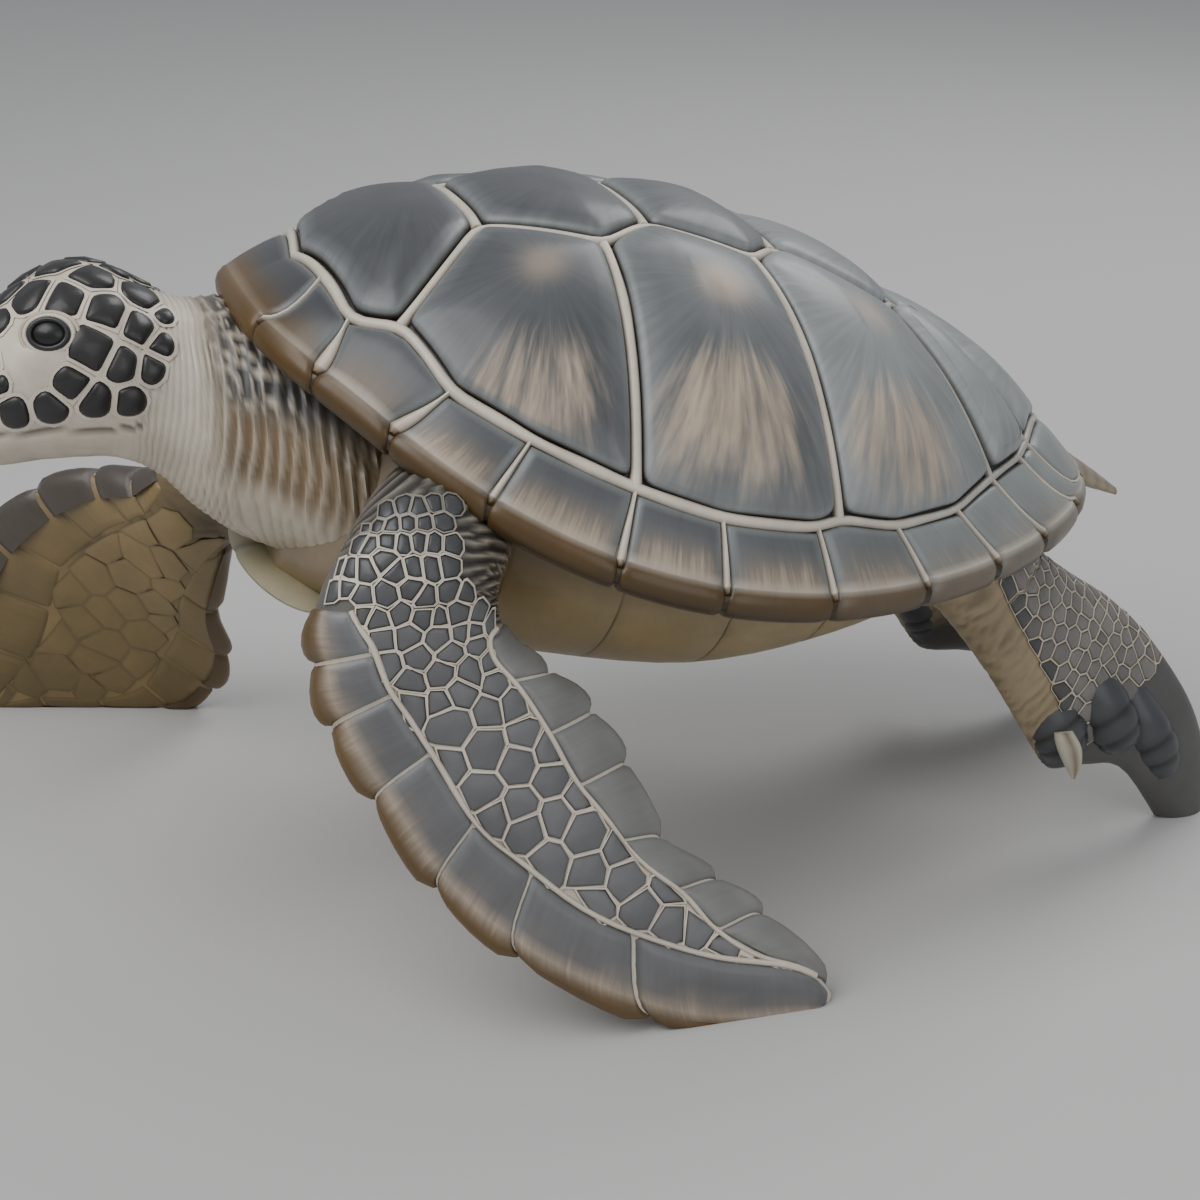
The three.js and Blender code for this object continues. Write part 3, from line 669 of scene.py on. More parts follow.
def addTrunk(casting):
    t = np.linspace(0, 1, 37)
    y = through(trunk["stations"], t)[:, 0]
    seams = [np.interp(spot + d, y, t) for spot in trunk["seamPlaces"] for d in (-1.3, 0, 1.3)]
    values = through(trunk["stations"], np.sort(np.concatenate([t, seams])))
    y, halfWidth, top, bottom, squareness = (values[:, [k]] for k in range(5))
    seamAngles = np.radians(trunk["seamAngles"])
    angle = np.concatenate([around(48) + 0.01, (seamAngles[:, None] + [-0.009, 0, 0.009]).ravel()])
    angle = np.sort(angle)
    side, up = superEllipse(angle[None, :], squareness)
    z = (top + bottom) / 2 + up * (top - bottom) / 2
    rings = stacked(side * halfWidth, y, z)
    across = np.min(np.abs(y - np.array(trunk["seamPlaces"])[None]), axis=1)
    lengthwise = np.min(np.abs(angle[:, None] - seamAngles[None]), axis=1) * 140
    groove = 1 - ramp(np.minimum(across[:, None], lengthwise[None, :]), 0.1, trunk["seamWidth"])
    groove = groove * ramp(-np.sin(angle), 0.05, 0.3)
    rings = rings - unit(rings * [1, 0, 1] + [0, 0, 20.0]) * (groove * trunk["seamDepth"])[..., None]
    patch = softNoise(rings[..., 0] / 45, rings[..., 1] / 45, 1)
    # the flank above the bridge and the breast are skin, darker and browner
    breast = (1 - ramp(rings[..., 1], -200, -150)) * ramp(np.sin(angle), -0.75, -0.4)
    # the seam grooves take painted shade: darker olive in their colour, and the shade share below
    colour = painted(patch.shape, "plastron", ("plastronPale", 0.1 + 0.12 * patch),
                     ("olive", 0.6 * ramp(np.sin(angle), -0.3, 0.05)), (tint("skin", "olive", 0.75), breast),
                     ("oliveDark", 0.4 * groove))
    addTube(casting, pitched(rings), colour, groove * 0.4)
    tilt = np.linspace(-0.94, 0.94, 11)[:, None] * np.pi / 2
    turn = around(60)[None, :]
    seam = 1 - ramp(np.abs(np.cos(turn)), 0.004, 0.05)
    reach = trunk["lipReach"] - seam * trunk["lipNotch"]
    lip = stacked(np.cos(turn) * trunk["lipHalfWidth"] * np.cos(tilt), np.sin(turn) * reach * np.cos(tilt),
                  trunk["lipThickness"] / 2 * np.sin(tilt)) + trunk["lipMiddle"]
    tone = painted(lip.shape[:2], "plastronPale", ("olive", 0.75 * (1 - ramp(tilt, -1.2, 0.2))))
    # painted shade in the notch at the lip's middle
    addTube(casting, pitched(lip), tone, 0.6 * seam)


# Neck and head: y, z, half width, height above and below the middle.
neck = {
    "stations": [
        [-150, 26, 96, 70, 80], [-225, 46, 104, 86, 88], [-270, 60, 92, 84, 84], [-300, 70, 80, 76, 80],
        [-325, 82, 68, 66, 72], [-348, 97, 62, 61, 62], [-372, 110, 64, 62, 62], [-398, 113, 65, 62, 62],
        [-422, 109, 60, 56, 58], [-447, 100, 50, 46, 51], [-468, 88, 35, 33, 38], [-483, 78, 16, 15, 19],
    ],
    "squareness": 2.1, "browRise": 6, "baseSpread": 24, "ringSpacing": 3.9, "ringDepth": 0.75,
    "foldSpacing": 8.2, "foldDepth": 3.0, "arcSpacing": 7.5, "arcDepth": 0.7, "netHeight": 0.8,
    "mouthDepth": 2.0, "mouthStart": 5.45,
    # the line between the lips: station, angle up from the side in degrees
    "mouth": [[5.45, -18], [5.7, -23], [6.4, -29], [7.2, -27], [8.2, -24], [9.2, -21], [11, -17]],
    "eyePlace": (52, -412, 145), "eyeRadius": 15, "eyeOutward": (1.0, -0.34, 0.42),
    # each ring of the lids: reach in eye radii, distance out, thickness and tone
    "lids": [(0.8, 5.2, 1.9, "charcoal"), (1.02, 3.4, 1.7, "cream"), (1.22, 1.6, 1.4, "skin")],
}
neckLast = len(neck["stations"]) - 1
# Head shields: station, angle up from the side in degrees, reach in millimetres.
headShields = [
    [6.32, 72, 16], [5.22, 70, 15], [6.12, 46.5, 15.5], [4.66, 61, 8.5], [7.05, 56, 14.5], [5.42, 42.5, 14],
    [4.86, 37, 9.5], [6.57, 21.5, 15], [5.94, 14.5, 13], [5.2, 18.5, 10], [7.15, 3, 12], [6.62, -7, 12],
    [5.8, -5.5, 10.5], [7.9, 70, 15], [8.75, 66, 11], [9.6, 60, 10], [7.75, -9, 11], [8.65, -6, 11],
    [9.45, 0, 10], [8.95, 17, 8], [9.2, 36, 11], [10.1, 34, 7],
]
crownShields = [[7.1, 90, 15], [8.35, 90, 12], [9.3, 90, 9], [5.75, 90, 11], [10.1, 90, 7]]


def neckValues(t):
    return np.moveaxis(through(neck["stations"], t).reshape(*np.shape(t), 5), -1, 0)


def neckShape(t, angle):
    y, z, halfWidth, above, below = neckValues(t)
    station = np.asarray(t) * neckLast
    side, up = superEllipse(angle, neck["squareness"])
    brow = neck["browRise"] * bell(station, 7.8, 0.9) * bell(up, 0.55, 0.3)
    base = neck["baseSpread"] * bell(station, 1.0, 1.1) * ramp(-up, -0.6, 0.2)
    return np.stack([(halfWidth + brow + base) * side, y, z + up * np.where(up > 0, above, below)], -1)


def neckMiddle(t):
    y, z = neckValues(t)[:2]
    return np.stack([0 * y, y, z], -1)


def skinOver(shape, middleOf, low, high):
    # a skin raised from a shape along its outward normals
    def skin(t, angle, lift=0.0):
        t, angle, lift = np.moveaxis(stacked(t, angle, lift).astype(float), -1, 0)
        base = shape(t, angle)
        inside = np.clip(t, low, high)
        step = 0.002
        along = shape(inside + step, angle) - shape(inside - step, angle)
        normals = unit(np.cross(along, shape(inside, angle + step) - shape(inside, angle - step)))
        normals = normals * np.sign((normals * (base - middleOf(t))).sum(-1, keepdims=True) + 1e-12)
        return base + normals * lift[..., None]

    return skin


neckSkin = skinOver(neckShape, neckMiddle, 0.01, 0.985)


def neckRelief(t, angle):
    station = t * neckLast
    folded = np.arctan2(np.sin(angle), np.abs(np.cos(angle)))
    mirror = np.where(np.cos(angle) < 0, 9.0, 0.0)  # another part of the noise for the right side
    run = -neckValues(t)[0]
    wander = softNoise(folded * 2.2 + mirror, run / 18, 0)
    fine = softNoise(folded * 6 + mirror, run / 6, 1)
    # close rings behind the head
    phase = (run + 6 * np.sin(folded * 1.3) + 1.6 * wander) / neck["ringSpacing"]
    rings = creases(phase + 0.1 * fine, 0.05, 0.6)
    behind = ramp(station, 2.9, 3.5) * (1 - ramp(station, 5.3, 6.0))
    throat = ramp(station, 5.9, 6.2) * ramp(-folded, 0.6, 0.85) * (1 - ramp(station, 8, 9))
    rings = rings * (behind + 0.4 * throat)
    # upright folds where the neck draws back into the shell
    phase = (run + 5 * np.sin(folded * 1.7) + 1.5 * wander) / neck["foldSpacing"]
    folds = creases(phase + 0.12 * fine, 0.3, 1.0)
    folds = folds * (1 - ramp(station, 3.1, 4.0)) * ramp(folded, -0.52 + 0.12 * wander, -0.15)
    # thin arcs round the throat
    phase = (run - 26 * np.cos(folded * 1.1) + 5 * wander) / neck["arcSpacing"]
    arcs = creases(phase + 0.1 * fine, 0.06, 0.4)
    arcs = arcs * (1 - ramp(station, 3.2, 4.6)) * ramp(-folded, 0.2, 0.55)
    # a net of cream lines over the dark top of the neck
    upper = ramp(folded, 0.2, 0.45) * (1 - ramp(station, 3.0, 3.9))
    meshes = np.minimum(np.abs(softNoise(folded * 12 + mirror, run / 8, 2)),
                        np.abs(softNoise(folded * 10 + 3, run / 6.0, 3)))
    net = 1 - ramp(meshes, 0.02, 0.15)
    height = (neck["netHeight"] * net * upper - neck["ringDepth"] * rings - neck["arcDepth"] * arcs
              - neck["foldDepth"] * folds * (1 - 0.6 * upper))
    return height, 0.6 * rings + 0.5 * arcs, folds * (1 - 0.4 * upper), upper, net


def shieldSites(listed, side):
    station, degrees, reach = np.array(listed, float).T
    angle = np.radians(degrees)
    return np.stack([station / neckLast, angle if side > 0 else np.pi - angle, reach], -1)


def addNeck(casting):
    # closest where the folds and rings are
    t = np.concatenate([np.linspace(0, 0.06, 3), np.linspace(0.075, 0.3, 48), np.linspace(0.3045, 0.56, 62),
                        np.linspace(0.57, 0.92, 28), np.linspace(0.935, 1, 6)])
    t, angle = np.meshgrid(t, around(88), indexing="ij")
    height, hollow, folds, upper, net = neckRelief(t, angle)
    folded = np.degrees(np.arctan2(np.sin(angle), np.abs(np.cos(angle))))
    station = t * neckLast
    lips = readAt(neck["mouth"], station)
    behindMouth = np.maximum(neck["mouthStart"] - station, 0) * 24
    slit = 1 - ramp(np.hypot((folded - lips) * 1.05, behindMouth), 0.8, 2.6)
    chin = bell(folded, lips - 10, 6) * ramp(station, 5.8, 7)
    rings = neckSkin(t, angle, height - neck["mouthDepth"] * slit + 1.0 * chin)
    # painted shade: darker olive in the fold hollows; the ring and arc hollows and the mouth slit take the
    # shade share
    colour = painted(t.shape, "skin", ("cream", 0.8 * ramp(station, 3.2, 4.4) * ramp(folded, -60, -10)),
                     ("olive", 0.3 * (1 - ramp(station, 2.0, 3.7)) * ramp(folded, -38, -8)),
                     (tint("olive", "tan", 0.12), 0.95 * folds),
                     ("slateDark", 0.92 * ramp(folded, 8, 28) * (1 - ramp(station, 2.9, 3.9))),
                     ("skin", 0.8 * net * upper * ramp(station, 1.4, 2.2)),
                     ("horn", 0.6 * ramp(station, 9.6, 10.4)))
    addTube(casting, rings, colour, np.clip(0.6 * hollow + slit, 0, 1))
    nearCrown = [row for row in headShields if row[1] > 60]
    left, right = shieldSites(headShields, 1), shieldSites(headShields, -1)
    crown = shieldSites(crownShields, 1)
    addTiles(casting, neckSkin, np.concatenate([left, crown]), shieldSites(nearCrown, -1), headTiles)
    addTiles(casting, neckSkin, right, np.concatenate([shieldSites(nearCrown, 1), crown]), headTiles)
    addEyes(casting)


def addEyes(casting):
    radius = neck["eyeRadius"]
    lat, lon = np.meshgrid(np.linspace(0.06, np.pi - 0.06, 11), around(22), indexing="ij")
    turn = np.linspace(0, fullTurn, 30)
    outward = unit(np.array(neck["eyeOutward"]))
    alongside = unit(np.cross([0.0, 0, 1], outward))
    upward = np.cross(outward, alongside)
    for side in (1, -1):
        vectors = (neck["eyePlace"], outward, upward, alongside)
        centre, out, up, ahead = (np.array(v) * [side, 1, 1] for v in vectors)
        ball = (centre + out * (radius * 0.6 * np.cos(lat))[..., None]
                + ahead * (radius * 0.85 * np.sin(lat) * np.cos(lon))[..., None]
                + up * (radius * 0.66 * np.sin(lat) * np.sin(lon))[..., None])
        addTube(casting, ball, paint["eye"])
        for reach, depth, thick, tone in neck["lids"]:
            ring = (centre + out * depth + ahead * (radius * reach * np.cos(turn))[:, None]
                    + up * (radius * 0.76 * reach * np.sin(turn))[:, None])
            addWelt(casting, ring, np.tile(unit(out), (len(turn), 1)), thick * 2, thick, paint[tone], 6)


# Scales. In millimetres: width of the raised border line, height of its crest and of the groove, rise of the
# plate over the shoulder's width and its dome, spacing of points. Reach is in the reaches of the sites.
headTiles = {
    "border": 1.9, "crest": 0.7, "groove": 0.1, "rise": 1.5, "dome": 1.9, "shoulder": 1.3, "spacing": 4.2,
    "reach": 1.3, "rounding": 1, "coreDepth": 4.0, "tone": "charcoal", "line": "cream", "spread": 0.3,
    # painted shade in the groove, as colour and as shade share; stretch of t where the pale lines fade in;
    # change of tone
    "grooveShadeTone": 0.85, "grooveShade": 1.0, "fadeIn": (-2, -1), "toneAt": None,
}
flipperTiles = dict(headTiles, border=0.85, crest=0.95, groove=0.15, rise=0.8, dome=0.5, shoulder=1.2,
                    spacing=6.5, reach=1.5, rounding=0, tone="flipperSlate", spread=0.14)
soleTiles = dict(flipperTiles, border=0.4, crest=0.0, groove=-0.05, rise=0.08, dome=0.2, spacing=9,
                 tone="underTan", line="underMid", spread=0.05, grooveShadeTone=0.12, grooveShade=0.12)
hindTiles = dict(flipperTiles, border=0.5, crest=0.7, groove=0.1, rise=0.9, dome=0.7, shoulder=1.1,
                 reach=1.45, tone="scaleGrey", line="skin", spread=0.16, grooveShadeTone=0.6, grooveShade=0.6)


def clipPolygon(polygon, normal, limit):
    inside = polygon @ normal <= limit
    if inside.all():
        return polygon
    kept = []
    for k in range(len(polygon)):
        following = (k + 1) % len(polygon)
        a, b = polygon[k], polygon[following]
        if inside[k]:
            kept.append(a)
        if inside[k] != inside[following]:
            kept.append(a + (b - a) * ((limit - a @ normal) / ((b - a) @ normal)))
    return np.array(kept)


def resample(polygon, spacing):
    points = []
    for corner, edge in zip(polygon, np.roll(polygon, -1, 0) - polygon):
        steps = max(1, round(np.linalg.norm(edge) / spacing))
        points += [corner + edge * k / steps for k in range(steps)]
    return np.array(points)


def addTiles(casting, skin, sites, ghosts, look):
    # Scales that fill the skin between their neighbours: a raised border line, a thin groove and a plate.
    # Sites are (t, angle, reach); ghosts are neighbours that only bound the others.
    t, angle, reach = np.concatenate([sites, ghosts]).T if len(ghosts) else sites.T
    step = 0.002
    places = skin(t, angle)
    alongStep = (skin(t + step, angle) - skin(t - step, angle)) / (2 * step)
    acrossStep = (skin(t, angle + step) - skin(t, angle - step)) / (2 * step)
    outward = unit(skin(t, angle, np.ones(len(t))) - places)
    sideways = unit(alongStep)
    upwards = np.cross(outward, sideways)
    border, umber = look["border"], paint["umber"]
    insets = [0, border, border + 0.35, border + 0.9, border + 0.9 + look["shoulder"]]
    for i in range(len(sites)):
        turn = around(9) + draw.uniform(0, 0.6)
        polygon = np.stack([np.cos(turn), np.sin(turn)], -1) * reach[i] * look["reach"]
        shade = draw.uniform(-1, 1)
        offset = places - places[i]
        gap = np.linalg.norm(offset, axis=1)
        close = (gap > 0) & (gap < (reach[i] + reach) * look["reach"]) & (outward @ outward[i] > 0.1)
        for j in np.where(close)[0]:
            toward = np.array([offset[j] @ sideways[i], offset[j] @ upwards[i]])
            span = np.linalg.norm(toward)
            if span > 1e-6 and len(polygon) > 2:
                limit = (span ** 2 + reach[i] ** 2 - reach[j] ** 2) / (2 * span)
                polygon = clipPolygon(polygon, toward / span, limit)
        if len(polygon) < 3:
            continue
        middle = polygon.mean(0)
        axes = np.array([sideways[i], upwards[i]])
        chart = axes @ np.array([alongStep[i], acrossStep[i]]).T
        rings, deepest = insetRings(resample(polygon, look["spacing"]), middle, insets, look["rounding"])
        if deepest < border + 0.8 or abs(np.linalg.det(chart)) < 1e-6:
            continue
        scale = min(1, deepest / (border + 5))  # small scales rise less
        heights = np.array([look["crest"], look["crest"] + 0.1, look["groove"], look["rise"] * scale,
                            (look["rise"] + look["dome"] * 0.6) * scale])
        unroll = np.linalg.inv(chart).T
        flats = np.array(rings) @ unroll + [t[i], angle[i]]
        centre = middle @ unroll + [t[i], angle[i]]
        rings = skin(flats[..., 0], flats[..., 1], heights[:, None])
        top = skin(centre[0], centre[1], (look["rise"] + look["dome"]) * scale)
        core = skin(centre[0], centre[1], -look["coreDepth"])
        tone = paint[look["tone"]] * (1 + look["spread"] * shade)
        if look["toneAt"]:
            tone = look["toneAt"](t[i], angle[i], tone)
        line = mix(paint[look["line"]], paint["slateDark"], 0.7 * (1 - ramp(t[i], *look["fadeIn"])))
        # painted shade in the groove round each scale and a little at the plate's foot, also as shade share
        colour = np.array([line, line, mix(tone, umber, look["grooveShadeTone"]), mix(umber, tone, 0.85), tone])
        recess = np.array([0, 0, 0.9, 0.15, 0]) * look["grooveShade"]
        addPad(casting, rings, top, core, colour[:, None], recess[:, None])


# Limbs: leading edge x y z, trailing edge x y z, thickness.
leftFlipper = [
    [110, -215, 25, 100, -105, 20, 86], [172, -243, 50, 172, -150, 30, 86],
    [203, -266, 36, 203, -171, 12, 80],
    [217, -283, 3, 212, -168, -8, 68], [230, -284, -39, 218, -158, -30, 55],
    [240, -274, -69, 224, -134, -50, 46],
    [253, -253, -110, 229, -114, -73, 38], [267, -220, -164, 240, -95, -106, 31],
    [279, -168, -214, 255, -74, -156, 26],
    [289, -86, -263, 264, -31, -192, 20], [290, -20, -280, 275, 5, -227, 15],
    [286, 25, -277, 284, 32, -263, 9],
]
rightFlipper = [
    [-110, -205, 25, -95, -110, 15, 86], [-165, -262, 30, -160, -180, -5, 80],
    [-190, -303, -4, -174, -226, -54, 68],
    [-207, -328, -38, -191, -268, -88, 57], [-234, -346, -46, -213, -280, -128, 48],
    [-263, -375, -53, -239, -283, -172, 41], [-291, -412, -74, -263, -273, -214, 35],
    [-315, -447, -112, -285, -282, -250, 29], [-334, -473, -160, -306, -318, -274, 24],
    [-347, -488, -206, -328, -384, -277, 19], [-355, -490, -244, -345, -442, -278, 14],
    [-359, -482, -268, -355, -470, -277, 9],
]
leftHindLimb = [
    [96, 100, -20, 60, 190, 0, 70], [140, 148, -56, 88, 226, -22, 66], [137, 176, -88, 97, 244, -48, 58],
    [131, 203, -127, 95, 273, -70, 49], [126, 223, -159, 91, 306, -92, 41],
    [121, 242, -190, 87, 336, -118, 34],
    [117, 260, -212, 86, 364, -152, 28], [113, 290, -215, 89, 388, -192, 24],
    [110, 322, -224, 94, 400, -236, 21],
    [104, 360, -277, 100, 396, -274, 18],
]
flipper = {
    # seams of the edge scutes: station at the edge, station at the inner end
    "leading": [(2.8, 2.82), (3.6, 3.48), (4.7, 4.27), (5.88, 5.48), (6.95, 6.52), (7.92, 7.28), (8.92, 8.35),
                (10.98, 10.8)],
    "trailing": [(3.2, 3.5), (4.8, 4.68), (6.0, 5.95), (7.0, 6.82), (7.95, 7.62), (8.78, 8.42), (9.52, 9.0),
                 (10.8, 10.55)],
    # lines between edge scutes and scales: station, place across from -1 at the leading edge to 1
    "leadingLine": [(2.82, -0.72), (3.1, -0.62), (3.48, -0.48), (4.27, -0.42), (5.48, -0.41), (6.52, -0.43),
                    (7.28, -0.29), (8.35, -0.09), (9.3, 0.15), (10.5, 0.72)],
    "trailingLine": [(3.3, 0.82), (3.6, 0.69), (4.68, 0.61), (5.95, 0.53), (6.82, 0.5), (7.62, 0.6),
                     (8.42, 0.64), (9.0, 0.42), (9.7, 0.4), (10.5, 0.76)],
    # where the scales end on the shoulder, before those lines begin
    "leadingBound": [(1.2, -0.6), (1.7, -0.88), (2.3, -0.97), (2.7, -0.97)],
    "trailingBound": [(1.2, 0.05), (1.9, 0.22), (2.5, 0.5), (3.0, 0.78)],
    "scaleSizes": [(1.7, 9.5), (2.5, 12), (3.4, 16), (4.4, 20), (6, 23), (8, 26), (10, 27)],
    "soleSizes": [(3, 30), (10, 34)], "farScaleSize": 1.4, "foldsPerStation": 6.4, "armpit": 9,
}
hind = {
    "scaleSizes": [(0, 13), (3, 14.5), (6.8, 14)],
    "leadingLine": [(0, -0.35), (2, -0.42), (4, -0.5), (5.2, -0.62), (6.6, -0.7)],
    "trailingLine": [(0, 0.98), (7, 0.98)],
    "toes": [
        # each toe from its root to its tip: x, y, z and radius
        [[108, 247, -142, 9], [115, 256, -166, 18], [119, 266, -186, 19], [118, 271, -201, 14]],
        [[104, 284, -134, 8], [111, 296, -160, 17], [115, 310, -186, 18], [113, 319, -200, 13]],
        [[100, 325, -158, 8], [107, 337, -188, 15], [108, 351, -214, 15], [106, 358, -231, 11]],
    ],
    "claw": [[132, 261, -176, 7], [138, 263.5, -186, 9], [140, 266.5, -199, 6.5], [137.5, 269.5, -212, 1.5]],
}
# y, z, half width, half height
tail = [[225, 8, 34, 26], [290, -14, 22, 16], [330, -34, 13, 9], [358, -50, 4, 3]]


def limbSkin(stations, outerSign, armpit=0.0):
    # angle 0 is the trailing edge, pi the leading edge, between them the outer side
    last = len(stations) - 1

    def shape(t, angle):
        t, angle = np.broadcast_arrays(np.asarray(t, float), np.asarray(angle, float))
        here = through(stations, t)
        back = through(stations, np.maximum(t - 0.02, 0))
        ahead = through(stations, np.minimum(t + 0.02, 1))
        run = ahead[:, :3] + ahead[:, 3:6] - back[:, :3] - back[:, 3:6]
        chord = here[:, 3:6] - here[:, :3]
        normal = unit(np.cross(chord, run)) * outerSign
        cosine, sine = np.cos(angle.ravel()), np.sin(angle.ravel())
        half = np.linalg.norm(chord, axis=1) / 2
        half = half + armpit * bell(t.ravel() * last, 1.5, 1.1) * ramp(cosine, 0, 0.9)
        lens = mix(1, 1.25, np.clip((t.ravel() - 0.3) * 3, 0, 1))
        rise = np.sign(sine) * np.abs(sine) ** lens * here[:, 6] / 2
        points = (here[:, :3] + here[:, 3:6]) / 2 + unit(chord) * (half * cosine)[:, None]
        return (points + normal * rise[:, None]).reshape(*t.shape, 3)

    def middleOf(t):
        return (shape(t, np.zeros(t.shape)) + shape(t, np.full(t.shape, np.pi))) / 2

    skin = skinOver(shape, middleOf, 0.004, 0.994)
    skin.last = last
    return skin


# Edge scutes: rows from 0 at the line to 1 at the edge, and on past it by the curl; heights and widths in
# millimetres; strengths of the paint.
edgeScutes = {
    "columns": [0, 0.03, 0.08, 0.18, 0.32, 0.5, 0.68, 0.82, 0.91, 0.965, 1],
    "rows": [0, 0.05, 0.12, 0.25, 0.42, 0.58, 0.72, 0.84, 0.93, 1.0], "curlRows": [0.25, 0.5, 0.75, 1],
    "curl": 0.42, "rise": 1.7, "dome": 2.2, "gap": 1.0, "step": 3.0, "tone": "flipperSlate", "tan": 0.95,
    "pale": 0.35, "darken": 0.0, "edgeStart": 0.24, "coreDepth": 5.0,
}
underScutes = dict(edgeScutes, curlRows=[], curl=0.0, rise=0.4, dome=0.9, gap=0.7, step=1.0, tone="underTan",
                   tan=0.3, pale=0.0, darken=0.6)


def addEdgeScutes(casting, skin, edge, look):
    # one row along the leading or the trailing edge, from its line on the skin over the edge
    leading = edge == "leading"
    edgeAngle = math.pi if leading else 0.0
    columns = np.array(look["columns"])
    w = np.array(look["rows"] + [1 + look["curl"] * share for share in look["curlRows"]])[:, None]
    seams = np.array(flipper[edge])
    for index, (here, following) in enumerate(zip(seams, seams[1:])):
        outer, inner = mix(here[:, None], following[:, None], columns)
        t = mix(inner, outer, np.clip(w, 0, 1) ** 0.8) / skin.last
        innerAngle = np.arccos(np.clip(readAt(flipper[edge + "Line"], inner), -1, 1))
        angle = mix(innerAngle, edgeAngle, w)
        sheet = skin(t, angle)
        fromHere = runLength(sheet, 1)
        fromSeam = np.minimum(fromHere, fromHere[:, -1:] - fromHere)
        if leading and index == len(seams) - 2:
            fromSeam = fromHere  # the last one runs out into the flipper's tip
        border = np.minimum(fromSeam, runLength(sheet))
        lift = -1.6 + (look["rise"] + 1.6) * ramp(border, look["gap"] * 0.3, look["gap"] + 1.8)
        lift = lift + look["dome"] * ramp(border, 2, 15)
        # each scute stands out at its far end and steps back to the next one
        step = ramp(columns, 0.0, 0.7) * (1 - ramp(columns, 0.82, 1.0))
        lift = lift + look["step"] * step * ramp(w, 0.62, 1.0) * (1 - 0.5 * ramp(w, 1.1, 1.5))
        if leading:
            lift = mix(lift, -2.5, ramp(t * skin.last, 10.7, 11))
        lift[0] = -2.0
        outwards = ramp(w + 0.04 * softNoise(fromHere / 12 + index * 3, w * 2, 3), look["edgeStart"], 1.0)
        paleBorder = (1 - ramp(border, look["gap"] + 0.5, look["gap"] + 6)) * (w < 1.05)
        colour = painted(t.shape, look["tone"], ("underDark", look["darken"] * ramp(t, 0.35, 0.95)),
                         ("slatePale", look["pale"] * paleBorder),
                         ("tan", look["tan"] * ramp(outwards, 0.05, 0.45) * 0.6),
                         ("olive", look["tan"] * ramp(outwards, 0.38, 0.85)),
                         ("oliveDark", look["tan"] * 0.5 * ramp(w, 1.1, look["curl"] + 1)))
        # painted shade in the seams between the scutes
        recess = 0.95 * (1 - ramp(border, 0.1, look["gap"] + 0.2))
        tan = 0.5 * look["tan"] * ramp(outwards, 0, 0.4) * (1 - ramp(outwards, 0.5, 0.9))
        flow = stacked(fromHere / 3, w * 1.4, index * 3.1)
        core = skin(t[5, 5], edgeAngle, -look["coreDepth"])
        addSheet(casting, skin(t, angle, lift), core, colour, recess, tan, flow)


def addSkinSeam(casting, skin, path, width, height):
    station, cosine = through(path, np.linspace(0, 1, len(path) * 6)).T
    t, angle = station / skin.last, np.arccos(np.clip(cosine, -1, 1))
    centres = skin(t, angle, 0.8)
    normals = unit(skin(t, angle, 1.8) - centres)
    wavy = width * (1 + 0.18 * softNoise(np.arange(len(t)) / 3, width, 2))
    addWelt(casting, centres, normals, wavy, height, paint["cream"], 2.8)


scaleJitter = 0.2  # how far a scale may stray, as a share of its size


def scaleSites(stations, firstRow, lastRow, sizes, leading, trailing, openUntil=0.0):
    # Offset rows of places for the scales, and their mirror images over the lines that bound them. Up to the
    # station openUntil the trailing side isn't bounded, so the scales end there in rounded outlines.
    sites, ghosts = [], []
    last = len(stations) - 1
    row, stagger = firstRow, -0.22
    while row < lastRow:
        here, ahead = through(stations, [row / last, min(row + 0.3, last) / last])
        size = readAt(sizes, row)
        half = np.linalg.norm(here[3:6] - here[:3]) / 2
        advance = np.linalg.norm((ahead[:3] + ahead[3:6] - here[:3] - here[3:6]) / 2) / 0.3
        low, high = np.arccos(np.clip([readAt(trailing, row), readAt(leading, row)], -1, 1))
        count = max(1, int(round((high - low) * half / size)))
        for k in range(count):
            spot = low + (high - low) * (k + 0.5 + stagger) / count
            spot += draw.uniform(-scaleJitter, scaleJitter) * size / half
            along = row + draw.uniform(-scaleJitter, scaleJitter) * size / advance
            reach = size * draw.uniform(0.55, 0.68)
            sites.append([along / last, spot, reach])
            bounds = [high] if row < openUntil else [low, high]
            ghosts += [[along / last, 2 * line - spot, reach] for line in bounds
                       if abs(spot - line) * half < size * 1.2]
        row += size * 0.87 / advance
        stagger = -stagger
    return np.array(sites), np.array(ghosts)


def addLimbTube(casting, skin, t, count, relief):
    t, angle = np.meshgrid(t, around(count), indexing="ij")
    lift, colour, recess = relief(t * skin.last, angle)
    addTube(casting, skin(t, angle, lift), colour, recess)


